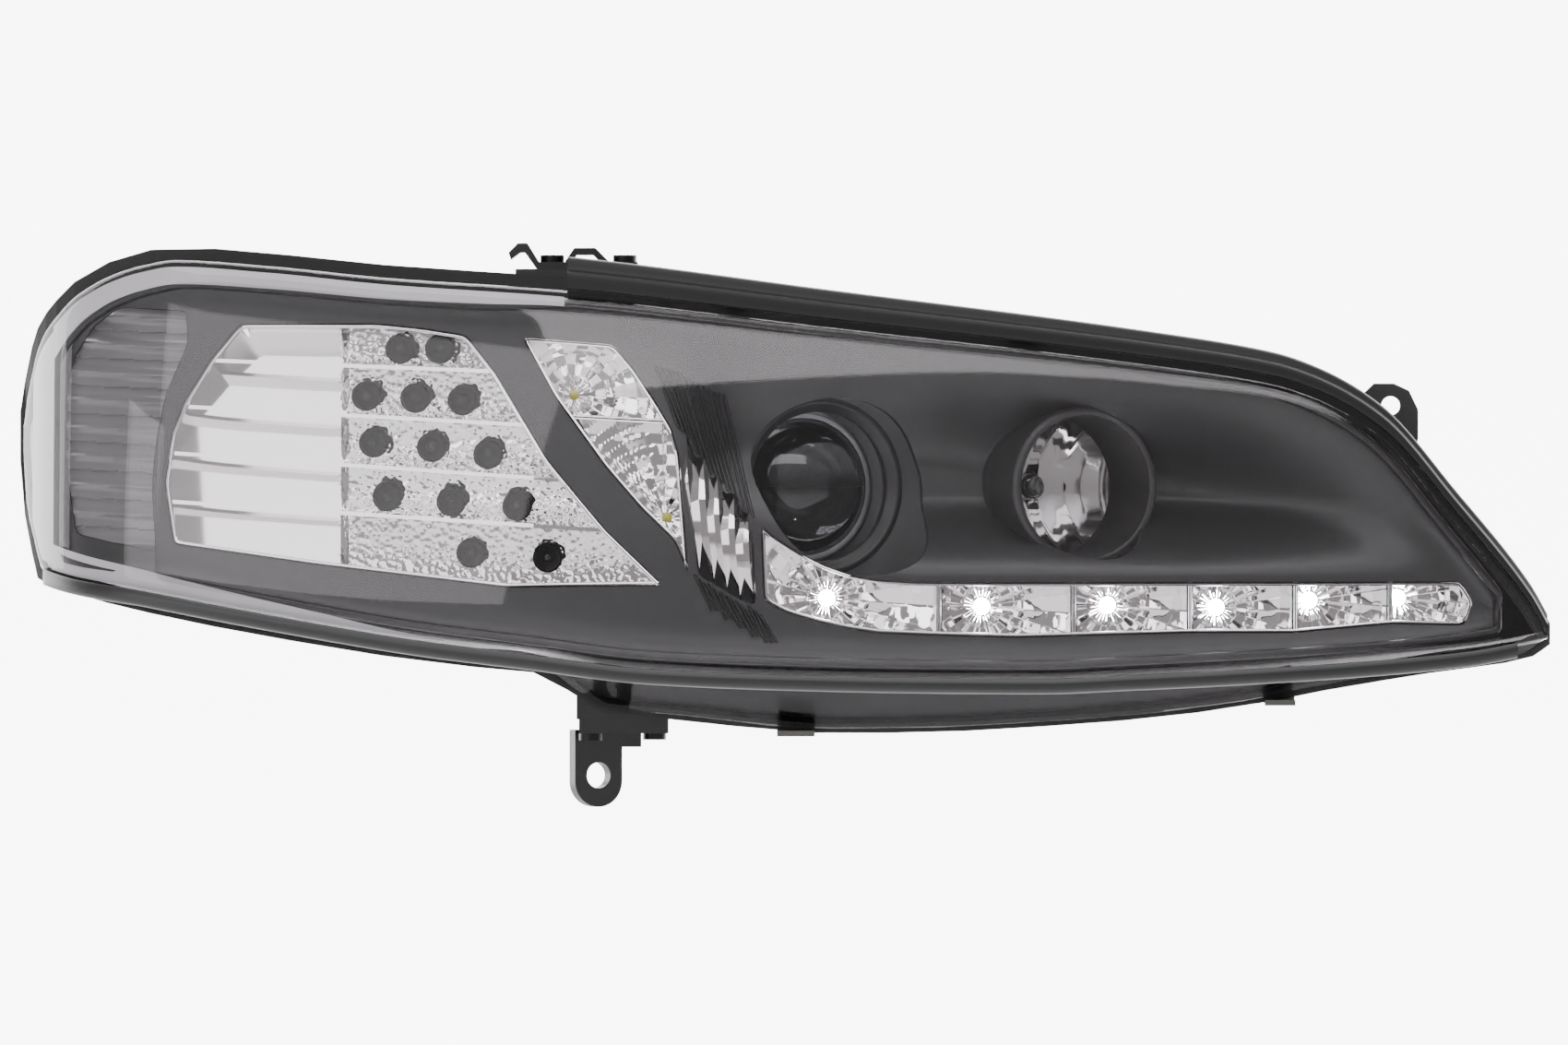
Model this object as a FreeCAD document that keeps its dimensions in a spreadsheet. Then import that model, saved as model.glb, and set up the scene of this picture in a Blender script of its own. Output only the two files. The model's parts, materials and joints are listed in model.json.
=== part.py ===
import FreeCAD, Part
import math
import os
import Sketcher

# Car headlight: a clear lens on a black housing, with a turn signal, a daytime-running strip,
# a projector low beam and a reflector high beam on a frame that can be aimed.
#
# Frame: millimetres, +X along the lamp face from the outboard end to the inboard tip, +Y to the
# rear of the car, +Z up. The origin is the centre of the bolt hole in the lower bracket's tab.
# The beams point forward and inboard: their axes are toed from the lamp face by toe_angle.
#
# Styling curves and outlines are points (share of lens length, share of lens height) in percent,
# measured from the outboard end and from the lowest point of the lens face.

Vector = FreeCAD.Vector
Rotation = FreeCAD.Rotation
Placement = FreeCAD.Placement

SIZES = {
    # overall lens
    "lens_length": 649,
    "lens_height": 178,
    "outboard_reach": 245,
    "face_base": 42,
    "lens_wall": 3,
    "front_face": -108,
    "front_bow": 220,
    "bow_centre": 100,
    "wrap_depth": 60,
    "wrap_length": 15,
    "lean_depth": 34,
    "flange_face": -34,
    "flange_bow_outer": 160,
    "flange_bow_inner": 20,
    # housing
    "housing_depth": 122,
    "housing_wall": 2.5,
    "rim_over": 5,
    "rim_under": 1,
    "rim_ends": 2,
    "bead_depth": 2,
    # beams and aiming points
    "toe_angle": 25,
    "low_axis": 98,
    "low_front": -54,
    "beam_height": 123,
    "high_axis": 204,
    "high_front": -57,
    "pivot_place": -12,
    "pivot_depth": -2,
    "pivot_height": 160,
    "level_drop": 86,
    "side_arm": 120,
    "ball_radius": 5,
    "ball_clearance": 0.06,
    "socket_radius": 9,
    "boss_radius": 13,
    "rod_ball_gap": 0.35,
    "rod_radius": 3,
    "stud_radius": 3.5,
    "stud_length": 48,
    "stud_grip": 20,
    "running_gap": 0.08,
    "fit_gap": 0.3,
    # projector
    "glass_radius": 29,
    "glass_sphere": 36,
    "holder_radius": 33,
    "holder_front": 24,
    "holder_length": 10,
    "bowl_radius": 33,
    "bowl_depth": 60,
    "bowl_wall": 2.5,
    "bulb_seat_radius": 24,
    "bulb_seat_depth": 5,
    "bulb_hole_radius": 11,
    "shield_thickness": 1.5,
    "shroud_radius": 38,
    "shroud_opening": 33,
    "shroud_length": 18,
    # high beam
    "dish_radius": 38,
    "dish_depth": 42,
    "dish_front": 40,
    "dish_wall": 2.5,
    "tunnel_radius": 34,
    "tunnel_opening": 30,
    "tunnel_length": 30,
    # bulbs and their wire clips
    "glass_tube_radius": 5.5,
    "glass_tube_length": 34,
    "bulb_flange": 2,
    "bulb_plug_radius": 7.5,
    "bulb_plug_length": 15,
    "clip_wire": 0.9,
    "clip_half_width": 12,
    "clip_half_height": 18,
    # frame plate
    "plate_thickness": 4,
    # rear necks and covers
    "low_neck_radius": 40,
    "low_neck_end": 192,
    "high_neck_radius": 36,
    "high_neck_end": 194,
    "neck_length": 55,
    "neck_wall": 3,
    "neck_lip": 5,
    "gasket_thickness": 2.5,
    "cover_thickness": 3,
    "spigot_depth": 9,
    "spigot_wall": 2.5,
    "grip_height": 12,
    "grip_width": 9,
    # levelling motor and adjusters
    "motor_face": 105,
    "motor_neck_radius": 15,
    "motor_neck_length": 14,
    "motor_width": 52,
    "motor_height": 46,
    "motor_depth": 34,
    "boss_wall": 3,
    "boss_length": 22,
    "boss_bore": 36,
    "adjuster_face": 51,
    "adjuster_radius": 5,
    "knob_radius": 10,
    "knob_length": 14,
    "vertical_knob_up": 42,
    # brackets
    "tab_thickness": 6,
    "tab_radius": 13,
    "tab_hole": 5.5,
    "bracket_plate": 6,
    "bracket_top": 24,
    "screw_radius": 2.5,
    "screw_head_radius": 5,
    "screw_head_height": 3,
    "ear_hole": 4,
    "ear_thickness": 4,
    "ear_behind": 6,
    "upper_hole": 3.5,
    "upper_plate": 3,
    "pad_left": -8,
    "pad_width": 40,
    "pad_front": -22,
    "pad_depth": 42,
    "pad_height": 24,
    "upper_left": -34,
    "upper_width": 52,
    "upper_front": -22,
    "upper_depth": 26,
    "upper_height": 18,
    "upper_rise": 7,
    # connector, breather and light driver on the rear wall
    "seat_proud": 4,
    "connector_share": 75,
    "connector_width": 36,
    "connector_tall": 26,
    "connector_height": 78,
    "connector_flange": 3,
    "connector_wall": 2,
    "connector_step": 4,
    "plug_depth": 18,
    "pin_pitch": 5,
    "pin_width": 1,
    "pin_length": 9,
    "driver_share": 71.5,
    "driver_width": 50,
    "driver_tall": 40,
    "driver_depth": 20,
    "driver_height": 128,
    "driver_border": 2,
    "vent_share": 22,
    "vent_height": 128,
    "vent_bore": 5,
    "vent_proud": 10,
    "vent_cap_radius": 9.5,
    "vent_cap_length": 9,
    # side marker lamp
    "marker_behind": 12,
    "marker_radius": 4,
    "marker_length": 12,
    "marker_holder": 8,
    "marker_holder_length": 10,
    # signal parts behind the lens
    "panel_depth": 10,
    "turn_depth": 12,
    "turn_tray": 26,
    "drl_depth": 14,
    "drl_tray": 18,
    "tray_wall": 1.6,
    "board_thickness": 1.6,
    "board_gap": 2,
    "led_hole": 6.2,
    "led_radius": 2.5,
    "led_length": 8,
    "chip_radius": 2.2,
    "blade_thickness": 1.6,
    "bezel_wall": 2.2,
    "bezel_margin": 6,
    "seal_start": 36,
    "seal_height": 14,
    "seal_depth": 17,
    "lip_height": 6.5,
    "lip_depth": 3.2,
    "strip_gap": 0.25,
}

doc = FreeCAD.newDocument("Headlight")
sheet = doc.addObject("Spreadsheet::Sheet", "size")
for row, (alias, value) in enumerate(SIZES.items(), start=1):
    sheet.set("A" + str(row), alias)
    sheet.set("B" + str(row), str(value))
    sheet.setAlias("B" + str(row), alias)
doc.recompute()


class Sizes:
    """The sheet's values, read by name."""

    def __getattr__(self, alias):
        return float(sheet.get(alias))


size = Sizes()
nodes = {}

# ---------------------------------------------------------------- styling curves and outlines

TOP_EDGE = [(0, 60.7), (0.3, 68), (1.2, 80.9), (2.5, 87.6), (3.7, 91.9), (6, 96.6), (8, 98.9),
            (10.2, 100.2), (16.3, 98.7), (24, 95.8), (35.9, 92.7), (53.2, 85.4), (74.1, 76.4),
            (82, 71.9), (85.2, 68), (89.2, 59.3), (94, 39.3), (98.9, 17.1), (100, 10.1)]
BOTTOM_EDGE = [(0, 52.8), (0.3, 39.3), (0.8, 30.3), (1.2, 24.2), (2.3, 22.2), (8.8, 15.7),
               (21.1, 7.3), (28.5, 3.4), (33.8, 1.7), (36.7, -4.1), (38.4, -7.9), (42.5, -9.4),
               (53.5, -12.8), (59.2, -12.6), (67, -11.2), (73.7, -9.3), (80.3, -6.2),
               (85.5, -2.5), (92.1, 1.5), (98.6, 5.1), (100, 8.4)]
KNUCKLE_LINE = [(0, 54), (0.3, 41), (0.8, 34), (1.5, 25.8), (8.8, 20.2), (18.6, 13.5), (26, 9),
                (33.4, 5.6), (41, 2.2), (49.3, 0.8), (59.2, 0), (67, -0.2), (72.4, 0.6),
                (80.3, 2), (88.3, 3.9), (94.8, 6.2), (99.5, 9.3), (100, 9.6)]
REAR_SHARE = [(0, 0.12), (6, 0.45), (15, 0.62), (30, 0.9), (42, 1), (70, 1), (82, 0.85),
              (92, 0.5), (100, 0.15)]
WELL_DEPTH = [(0, 13), (30, 14), (44, 15), (52, 50), (60, 58), (76, 58), (84, 40), (92, 22),
              (100, 13)]
STATIONS = (0, 0.3, 0.8, 1.2, 1.8, 2.5, 3.7, 6, 8.8, 13, 18, 24, 30, 33.8, 36, 38.4, 42.5, 47,
            52, 57, 62, 67, 72, 77, 82, 85.2, 89.2, 92.1, 94.8, 97, 98.9, 99.5, 100)

TURN_OUTLINE = [(14.5, 84.8), (23.7, 84.8), (26.5, 83.7), (29.4, 82), (31.3, 73), (34.7, 52.2),
                (36.7, 43.3), (38.5, 35.4), (42.3, 22), (32, 21.5), (19.4, 27), (10.2, 31.8),
                (9.6, 46), (10, 57.9), (10.9, 66.3), (12.6, 76.4)]
PANEL_OUTLINE = [(6.5, 88.9), (11, 88), (11.1, 79.8), (9.7, 68), (9.1, 57.3), (8.8, 46),
                 (9.1, 29.8), (3.7, 34.3), (2.5, 61.8), (3.5, 77), (4.8, 84.3)]
DRL_UPPER_OUTLINE = [(33, 81.5), (39, 79.8), (40.4, 73.6), (41.8, 65.7), (42.8, 59.6),
                     (43.3, 53.4), (43.9, 24.7), (43, 32.6), (40.8, 40.4), (38.4, 50.6),
                     (35.1, 67.4)]
COMB_OUTLINE = [(43.7, 59.6), (44.4, 52), (44.9, 53.4), (45.4, 47), (45.8, 48.9), (46.3, 43.5),
                (46.9, 44.9), (47.4, 39), (47.8, 40.4), (48.1, 36), (48.3, 17.2), (47.3, 18.5),
                (46.4, 20.6), (45.5, 22.5), (44.5, 24.7), (44.2, 40)]
DRL_LOWER_OUTLINE = [(48.6, 36.5), (49.5, 33.7), (51.2, 29.8), (52.7, 27), (54.5, 24.7),
                     (56.2, 23.6), (58.9, 23), (65.2, 22.9), (94.3, 23), (95.2, 18),
                     (94.6, 12.4), (89.7, 12.8), (83.5, 10.7), (76.6, 10.7), (65.2, 9.6),
                     (60.2, 10.1), (56.2, 10.7), (54.2, 11.8), (52.2, 13.5), (50.2, 15.7),
                     (48.8, 18.5)]
TURN_LEDS = [(25, 78.7), (27.6, 78.7), (22.8, 67.4), (26, 66.9), (29.1, 66.3), (23.3, 56.2),
             (27.1, 55.1), (30.8, 53.4), (24.2, 43.3), (28.4, 42.1), (32.7, 41), (29.7, 29.8),
             (34.7, 28.7)]
TURN_BLADES = [((9, 76.2), (36, 72.2)), ((9, 65), (39, 59)), ((9, 53.8), (40, 46)),
               ((9, 42.2), (43, 34))]
DRL_UPPER_LEDS = [(36.4, 67.4), (42.5, 38.2)]
DRL_LOWER_LEDS = [(52.9, 19.1), (63, 17.1), (71.2, 17.4), (78.3, 16.9), (84.4, 18.5),
                  (90.2, 19.1)]
DRL_DIVIDERS = (60.2, 69, 76.6, 83.5, 89.7)


def x_at(share):
    """X of a share of the lens length, in percent from the outboard end."""
    return -size.outboard_reach + size.lens_length * share / 100


def share_at(x):
    """Share of the lens length at X, kept between the two ends."""
    share = 100 * (x + size.outboard_reach) / size.lens_length
    return min(max(share, 0), 100)


def z_at(share):
    """Z of a share of the lens height, in percent from the lowest point of the lens face."""
    return size.face_base + size.lens_height * share / 100


def follow(points, share):
    """Value of a curve at a share: a cubic through its points that doesn't overshoot."""
    count = len(points)
    slopes = []
    for first, second in zip(points, points[1:]):
        slopes.append((second[1] - first[1]) / (second[0] - first[0]))
    tangents = [slopes[0]]
    for before, after in zip(slopes, slopes[1:]):
        same_way = before * after > 0
        tangents.append(2 * before * after / (before + after) if same_way else 0)
    tangents.append(slopes[-1])
    index = 0
    while index < count - 2 and share > points[index + 1][0]:
        index += 1
    width = points[index + 1][0] - points[index][0]
    t = (share - points[index][0]) / width
    start = points[index][1]
    end = points[index + 1][1]
    start_pull = tangents[index] * width
    end_pull = tangents[index + 1] * width
    return (start * (1 + 2 * t) * (1 - t) ** 2 + start_pull * t * (1 - t) ** 2
            + end * t * t * (3 - 2 * t) - end_pull * t * t * (1 - t))


def bow(x):
    """Square of the distance from the bow's centre, in lens lengths."""
    return ((x - size.bow_centre) / size.lens_length) ** 2


def wrap(x):
    """Extra depth where the outboard end wraps round the wing."""
    return size.wrap_depth * math.exp(-max(x + size.outboard_reach, 0) / size.wrap_length)


def front_y(x, z):
    """Outside of the lens face: bowed in plan, wrapped outboard, leaning back towards its top."""
    height = max(z - size.face_base, 0) / size.lens_height
    return size.front_face + size.front_bow * bow(x) + wrap(x) + size.lean_depth * height ** 2


def flange_y(x):
    """Rear edge of the lens, where the glue bead is."""
    side_bow = size.flange_bow_inner if x > size.bow_centre else size.flange_bow_outer
    return size.flange_face + side_bow * bow(x) + wrap(x) / 2


def outline(share, top_grow, bottom_grow, end_grow):
    """X, top, knuckle and bottom of the lamp's outline, grown or shrunk by the given amounts."""
    middle_x = x_at(50)
    x = middle_x + (x_at(share) - middle_x) * (1 + 2 * end_grow / size.lens_length)
    top = z_at(follow(TOP_EDGE, share))
    bottom = z_at(follow(BOTTOM_EDGE, share))
    knuckle = z_at(follow(KNUCKLE_LINE, share))
    half = (top - bottom) / 2
    middle = (top + bottom) / 2
    new_top = middle + max(half + top_grow, half * 0.3)
    new_bottom = middle - max(half + bottom_grow, half * 0.3)
    stretch = (new_top - new_bottom) / (top - bottom)
    return x, new_top, new_bottom + (knuckle - bottom) * stretch, new_bottom


# ------------------------------------------------------------------------- making shapes

def keep(label, shape, placement=None):
    """A sub-part whose shape is worked out here; its placement follows its shape."""
    feature = doc.addObject("Part::Feature", label)
    feature.Label = label
    feature.Shape = shape
    if placement is not None:
        feature.Placement = placement
    nodes[label] = feature
    return feature


def loft(sections):
    """A solid through closed sections, each a list of vectors, with straight runs between."""
    wires = []
    for points in sections:
        wires.append(Part.makePolygon(points + [points[0]]))
    return Part.makeLoft(wires, True, True)


def face_levels(top, bottom, count=5):
    """Heights from top to bottom, evenly spaced."""
    return [top + (bottom - top) * step / (count - 1) for step in range(count)]


def lens_section(share, inset, past_flange):
    """Section of the lens's outside, or of its inside when inset by the wall."""
    x, top, knuckle, bottom = outline(share, -inset, -inset, -inset)
    back = flange_y(x) + past_flange
    points = [Vector(x, back, top)]
    for z in face_levels(top, knuckle):
        points.append(Vector(x, front_y(x, z) + inset, z))
    points.append(Vector(x, back, bottom))
    return points


def housing_section(share, inset, past_front):
    """Section of the housing: a rim behind the bead, then a crowned back."""
    over = size.rim_over - inset
    under = size.rim_under - inset
    x, top, _, bottom = outline(share, over, under, size.rim_ends - inset)
    front = flange_y(x) + size.bead_depth
    back = front + follow(REAR_SHARE, share) * size.housing_depth - inset
    depth = back - front
    crown = min(1, (top - bottom) / 120)
    profile = [(-past_front, top), (0.2 * depth, top - 3 * crown),
               (0.82 * depth, top - 24 * crown), (depth, top - 48 * crown),
               (depth, bottom + 40 * crown), (0.82 * depth, bottom + 16 * crown),
               (0.2 * depth, bottom + 3 * crown), (-past_front, bottom)]
    return [Vector(x, front + y, z) for y, z in profile]


def rim_section(share, over, under, ends, front, back):
    """Rectangle round the lamp's rim between two depths behind the lens's rear edge."""
    x, top, _, bottom = outline(share, over, under, ends)
    y = flange_y(x)
    return [Vector(x, y + front, top), Vector(x, y + back, top),
            Vector(x, y + back, bottom), Vector(x, y + front, bottom)]


def strip(start, end, section):
    """A long piece that follows the lamp: sections at the stations from start to end."""
    shares = [start] + [share for share in STATIONS if start < share < end] + [end]
    return loft([section(share) for share in shares])


def layer(depth, thickness, start=0, end=100):
    """A sheet parallel to the lens face, a given depth behind it."""
    levels = face_levels(z_at(-10), z_at(105), 9)

    def section(share):
        x = x_at(share)
        near = [Vector(x, front_y(x, z) + depth, z) for z in levels]
        far = [Vector(x, front_y(x, z) + depth + thickness, z) for z in levels]
        return near + far[::-1]

    return strip(start, end, section)


def prism(points, grow=0):
    """An outline in shares of the lens, grown by a margin, as a solid through the whole depth."""
    corners = [Vector(x_at(u), 0, z_at(v)) for u, v in points]
    wire = Part.makePolygon(corners + [corners[0]])
    face = Part.Face(wire)
    if grow:
        face = Part.Face(wire.makeOffset2D(grow, 2))
    face.translate(Vector(0, -300, 0))
    return face.extrude(Vector(0, 600, 0))


def tray(points, depth, tray_depth):
    """A shallow open cup behind the lens with the given outline, wall and floor alike."""
    outside = prism(points).common(layer(depth, tray_depth))
    hollow = prism(points, -size.tray_wall).common(layer(depth - 1, tray_depth - size.tray_wall + 1))
    return outside.cut(hollow)


def along_y(u, v, radius, start, length):
    """A rod along Y at a share of the lens, from start behind the lens's outside."""
    x = x_at(u)
    z = z_at(v)
    return Part.makeCylinder(radius, length, Vector(x, front_y(x, z) + start, z), Vector(0, 1, 0))


def beam_point(point, distance):
    """A point moved rearwards along the beam direction."""
    toe = math.radians(size.toe_angle)
    return point + Vector(-math.sin(toe), math.cos(toe), 0) * distance


def beam_place(point, distance=0):
    """Placement with its origin on a beam line and local +Z rearwards along the beam."""
    turn = Rotation(Vector(0, 0, 1), size.toe_angle) * Rotation(Vector(1, 0, 0), -90)
    return Placement(beam_point(point, distance), turn)


def beam_rod(point, radius, start, end):
    """A cylinder on a beam line between two distances behind its point."""
    rod = Part.makeCylinder(radius, end - start)
    rod.Placement = beam_place(point, start)
    return rod


def turned(label, profile, placement, angle=360):
    """A revolved body: profile corners are (radius, height) formulas in the sheet's sizes."""
    body = doc.addObject("PartDesign::Body", label)
    body.Label = label
    sketch = body.newObject("Sketcher::SketchObject", label + "_profile")
    plane = [item for item in body.Origin.OriginFeatures if item.Role == "XZ_Plane"][0]
    sketch.AttachmentSupport = [(plane, "")]
    sketch.MapMode = "FlatFace"
    draw_polygon(sketch, profile)
    revolution = body.newObject("PartDesign::Revolution", label + "_turn")
    revolution.Profile = sketch
    revolution.ReferenceAxis = (sketch, ["V_Axis"])
    revolution.Angle = angle
    body.Placement = placement
    nodes[label] = body
    return body


def draw_polygon(sketch, profile):
    """Closed polygon whose every corner is held by two formulas."""
    corners = []
    for across, up in profile:
        corners.append(Vector(float(sheet.evalExpression(across)),
                              float(sheet.evalExpression(up)), 0))
    count = len(corners)
    for index in range(count):
        sketch.addGeometry(Part.LineSegment(corners[index], corners[(index + 1) % count]))
    for index in range(count):
        sketch.addConstraint(Sketcher.Constraint("Coincident", index, 2, (index + 1) % count, 1))
    for index, formulas in enumerate(profile):
        for kind, formula, value in zip(("DistanceX", "DistanceY"), formulas, corners[index]):
            held = Sketcher.Constraint(kind, -1, 1, index, 1, value)
            number = sketch.addConstraint(held)
            sketch.setExpression("Constraints[" + str(number) + "]", formula)


def revolved(points):
    """A revolved solid about local Z from computed (radius, height) points."""
    corners = [Vector(radius, 0, height) for radius, height in points]
    face = Part.Face(Part.makePolygon(corners + [corners[0]]))
    return face.revolve(Vector(0, 0, 0), Vector(0, 0, 1), 360)


def biggest(shape):
    """The largest solid of a shape, without the slivers that cutting leaves."""
    return max(shape.Solids, key=lambda solid: solid.Volume)


def group(shapes):
    """Several separate solids kept in one node."""
    return Part.makeCompound(shapes)


# --------------------------------------------------------------------------- datum points

LOW = Vector(size.low_axis, size.low_front, size.beam_height)
HIGH = Vector(size.high_axis, size.high_front, size.beam_height)
PIVOT = Vector(size.pivot_place, size.pivot_depth, size.pivot_height)
LEVEL = PIVOT - Vector(0, 0, size.level_drop)
toe = math.radians(size.toe_angle)
SIDE = PIVOT + Vector(math.cos(toe), math.sin(toe), 0) * size.side_arm
VERTICAL = LEVEL + Vector(0, 0, size.vertical_knob_up)

# ------------------------------------------------------------------- lens, bead and housing

lens_outside = strip(0, 100, lambda share: lens_section(share, 0, 0))
lens_inside = strip(0, 100, lambda share: lens_section(share, size.lens_wall, 1))
keep("front_lens", lens_outside.cut(lens_inside))

bead_outside = strip(0, 100, lambda share: rim_section(
    share, size.rim_over, size.rim_under, size.rim_ends, 0, size.bead_depth))
bead_inside = strip(0, 100, lambda share: rim_section(
    share, -size.lens_wall, -size.lens_wall, -size.lens_wall, -1, size.bead_depth + 1))
keep("lens_glue_bead", bead_outside.cut(bead_inside).cut(lens_outside))

housing_outside = strip(0, 100, lambda share: housing_section(share, 0, 0))
housing_inside = strip(0, 100, lambda share: housing_section(share, size.housing_wall, 1))


def neck_bore(point, radius, end):
    """Hole through the rear wall in line with a neck."""
    return beam_rod(point, radius, end - size.neck_length - 5, end + 1)


def neck_shape(point, radius, end):
    """Collar on the rear wall with a lip for the gasket; it ends on the housing's outside."""
    wall = radius + size.neck_wall
    collar = beam_rod(point, wall, end - size.neck_length, end)
    lip = beam_rod(point, wall + size.neck_lip, end - size.neck_wall, end)
    return biggest(collar.fuse(lip).cut(neck_bore(point, radius, end)).cut(housing_outside))


NECKS = {
    "low_neck": (LOW, size.low_neck_radius, size.low_neck_end),
    "high_neck": (HIGH, size.high_neck_radius, size.high_neck_end),
}


def housing_shape():
    """The shell with its bosses, pads and openings."""
    adjuster_hole = size.adjuster_radius + size.running_gap
    bosses = [
        (LEVEL, size.motor_neck_radius + size.running_gap, size.motor_face),
        (VERTICAL, adjuster_hole, size.motor_face),
        (SIDE, adjuster_hole, size.adjuster_face),
    ]
    outside = housing_outside
    bores = housing_inside
    for point, radius, end in bosses:
        outside = outside.fuse(beam_rod(point, radius + size.boss_wall, end - size.boss_length, end))
        bores = bores.fuse(beam_rod(point, radius, end - size.boss_bore, end + 1))
    for neck in NECKS.values():
        bores = bores.fuse(neck_bore(*neck))
    for pad in (connector_seat(), driver_seat(), vent_boss()):
        outside = outside.fuse(pad)
    shell = outside.cut(bores)
    for pad in (lower_pad(), upper_pad(), inboard_ear()):
        shell = shell.fuse(pad)
    stud_boss = beam_rod(PIVOT, size.stud_radius + size.boss_wall + 1, 30, 100)
    shell = shell.fuse(stud_boss.common(housing_outside))
    for hole in (beam_rod(PIVOT, size.stud_radius, size.stud_grip, size.stud_length),
                 connector_hole(), vent_hole()):
        shell = shell.cut(hole)
    return shell.removeSplitter()


def rear_y(share):
    """Depth of the housing's rear wall."""
    return (flange_y(x_at(share)) + size.bead_depth
            + follow(REAR_SHARE, share) * size.housing_depth)


def block(x, z, width, height, start, end):
    """Box centred on a point of X and Z, between two depths."""
    return Part.makeBox(width, end - start, height, Vector(x - width / 2, start, z - height / 2))


def rear_tube(share, z, radius, start, end):
    """Rod along Y at a share of the lens, between two depths from the rear wall."""
    return Part.makeCylinder(radius, end - start, Vector(x_at(share), rear_y(share) + start, z),
                             Vector(0, 1, 0))


def connector_seat():
    """Flat seat for the connector on the rear wall."""
    y = rear_y(size.connector_share)
    return block(x_at(size.connector_share), size.connector_height, size.connector_width,
                 size.connector_tall, y - size.boss_length, y + size.seat_proud)


def connector_hole():
    """Hole through the connector's seat."""
    y = rear_y(size.connector_share)
    step = 2 * size.connector_step
    return block(x_at(size.connector_share), size.connector_height, size.connector_width - step,
                 size.connector_tall - step, y - 2 * size.boss_length, y + size.boss_length)


def driver_seat():
    """Flat seat for the light driver box."""
    y = rear_y(size.driver_share)
    border = 2 * size.driver_border
    return block(x_at(size.driver_share), size.driver_height, size.driver_width + border,
                 size.driver_tall + border, y - size.boss_length, y + size.seat_proud)


def vent_boss():
    """Short tube for the breather cap."""
    return rear_tube(size.vent_share, size.vent_height, size.vent_bore + size.boss_wall,
                     -size.boss_length, size.vent_proud)


def vent_hole():
    """Bore of the breather tube."""
    return rear_tube(size.vent_share, size.vent_height, size.vent_bore,
                     -size.boss_length - 1, size.vent_proud + 1)


def lower_pad():
    """Block under the housing that the lower bracket bolts to."""
    return Part.makeBox(size.pad_width, size.pad_depth, size.pad_height,
                        Vector(size.pad_left, size.pad_front, size.bracket_top))


def upper_pad_top():
    """Top of the block that carries the upper bracket."""
    return z_at(follow(TOP_EDGE, share_at(size.upper_left))) + size.upper_rise


def upper_pad():
    """Block on top of the housing that the upper bracket bolts to."""
    return Part.makeBox(size.upper_width, size.upper_depth, size.upper_height,
                        Vector(size.upper_left, size.upper_front,
                               upper_pad_top() - size.upper_height))


EAR = [(87.6, 66), (88.8, 70.2), (90.1, 70.2), (91.1, 68.5), (91.7, 64), (91.7, 57),
       (91.5, 53), (90, 40), (86, 52)]
EAR_HOLE = (89.9, 64.9)


def ear_y():
    """Front of the inboard ear, just behind the rim."""
    return flange_y(x_at(EAR_HOLE[0])) + size.bead_depth + size.ear_behind


def inboard_ear():
    """Lug at the inboard end with its bolt hole."""
    slab = Part.makeBox(700, size.ear_thickness, 400, Vector(-300, ear_y(), -100))
    lug = prism(EAR).common(slab).cut(housing_inside)
    hole = Part.makeCylinder(size.ear_hole, 60, Vector(x_at(EAR_HOLE[0]), ear_y() - 30,
                                                       z_at(EAR_HOLE[1])), Vector(0, 1, 0))
    return lug.cut(hole)


keep("housing", housing_shape())
for name, neck in NECKS.items():
    keep(name, neck_shape(*neck))

# ---------------------------------------------------------------------- seal, lip and clips


def seal_section(share):
    """Two-level rubber strip on the top edge of the lens."""
    x = x_at(share)
    z = z_at(follow(TOP_EDGE, share)) + size.strip_gap
    y = front_y(x, z) - 2
    taper = 1 - 0.35 * (share - size.seal_start) / (100 - size.seal_start)
    height = size.seal_height * taper
    return [Vector(x, y, z), Vector(x, y, z + 0.55 * height),
            Vector(x, y + 3, z + 0.62 * height), Vector(x, y + 4, z + height),
            Vector(x, y + size.seal_depth, z + height), Vector(x, y + size.seal_depth, z)]


def lip_section(share):
    """Strip that hooks over the lower edge of the lens face."""
    x = x_at(share)
    knuckle = z_at(follow(KNUCKLE_LINE, share))
    bottom = z_at(follow(BOTTOM_EDGE, share))
    y = front_y(x, knuckle)
    gap = size.strip_gap
    fall = 5 * (knuckle - bottom) / (flange_y(x) - y)
    foot = knuckle - size.lip_height
    return [Vector(x, y - size.lip_depth, knuckle + 0.3), Vector(x, y - gap, knuckle + 0.3),
            Vector(x, y - gap, knuckle - 2 * gap), Vector(x, y + 5, knuckle - 2 * gap - fall),
            Vector(x, y + 5, foot), Vector(x, y - size.lip_depth, foot + 0.5)]


keep("top_seal_strip", strip(size.seal_start, 100, seal_section))
keep("lower_lip_strip", strip(1.5, 98, lip_section))


def lens_clip(share, width, side):
    """Spring clip over the lens edge and the housing rim; side is +1 at the top, -1 below."""
    x = x_at(share)
    y = flange_y(x)
    half = width / 2
    edges = []
    for at in (share_at(x - half), share, share_at(x + half)):
        _, top, _, bottom = outline(at, size.rim_over, size.rim_under, 0)
        edges.append(top if side > 0 else -bottom)
    edge = max(edges) + size.strip_gap
    band = Part.makeBox(width, 18, 1.2, Vector(x - half, y - 7, edge))
    hook = Part.makeBox(width, 1.2, 4, Vector(x - half, y + 11, edge - 2.8))
    toe_hook = Part.makeBox(width, 1.2, 2.4, Vector(x - half, y - 8.2, edge - 1.2))
    clip = band.fuse(hook).fuse(toe_hook)
    if side < 0:
        clip = clip.mirror(Vector(0, 0, 0), Vector(0, 0, 1))
    solids = clip.cut(lens_outside).cut(housing_outside).cut(bead_outside).Solids
    return max(solids, key=lambda solid: solid.Volume)


clips = [lens_clip(50.9, 16, -1), lens_clip(82.6, 13, -1), lens_clip(47, 14, 1),
         lens_clip(66, 14, 1)]
keep("lens_clips", group(clips))

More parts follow.
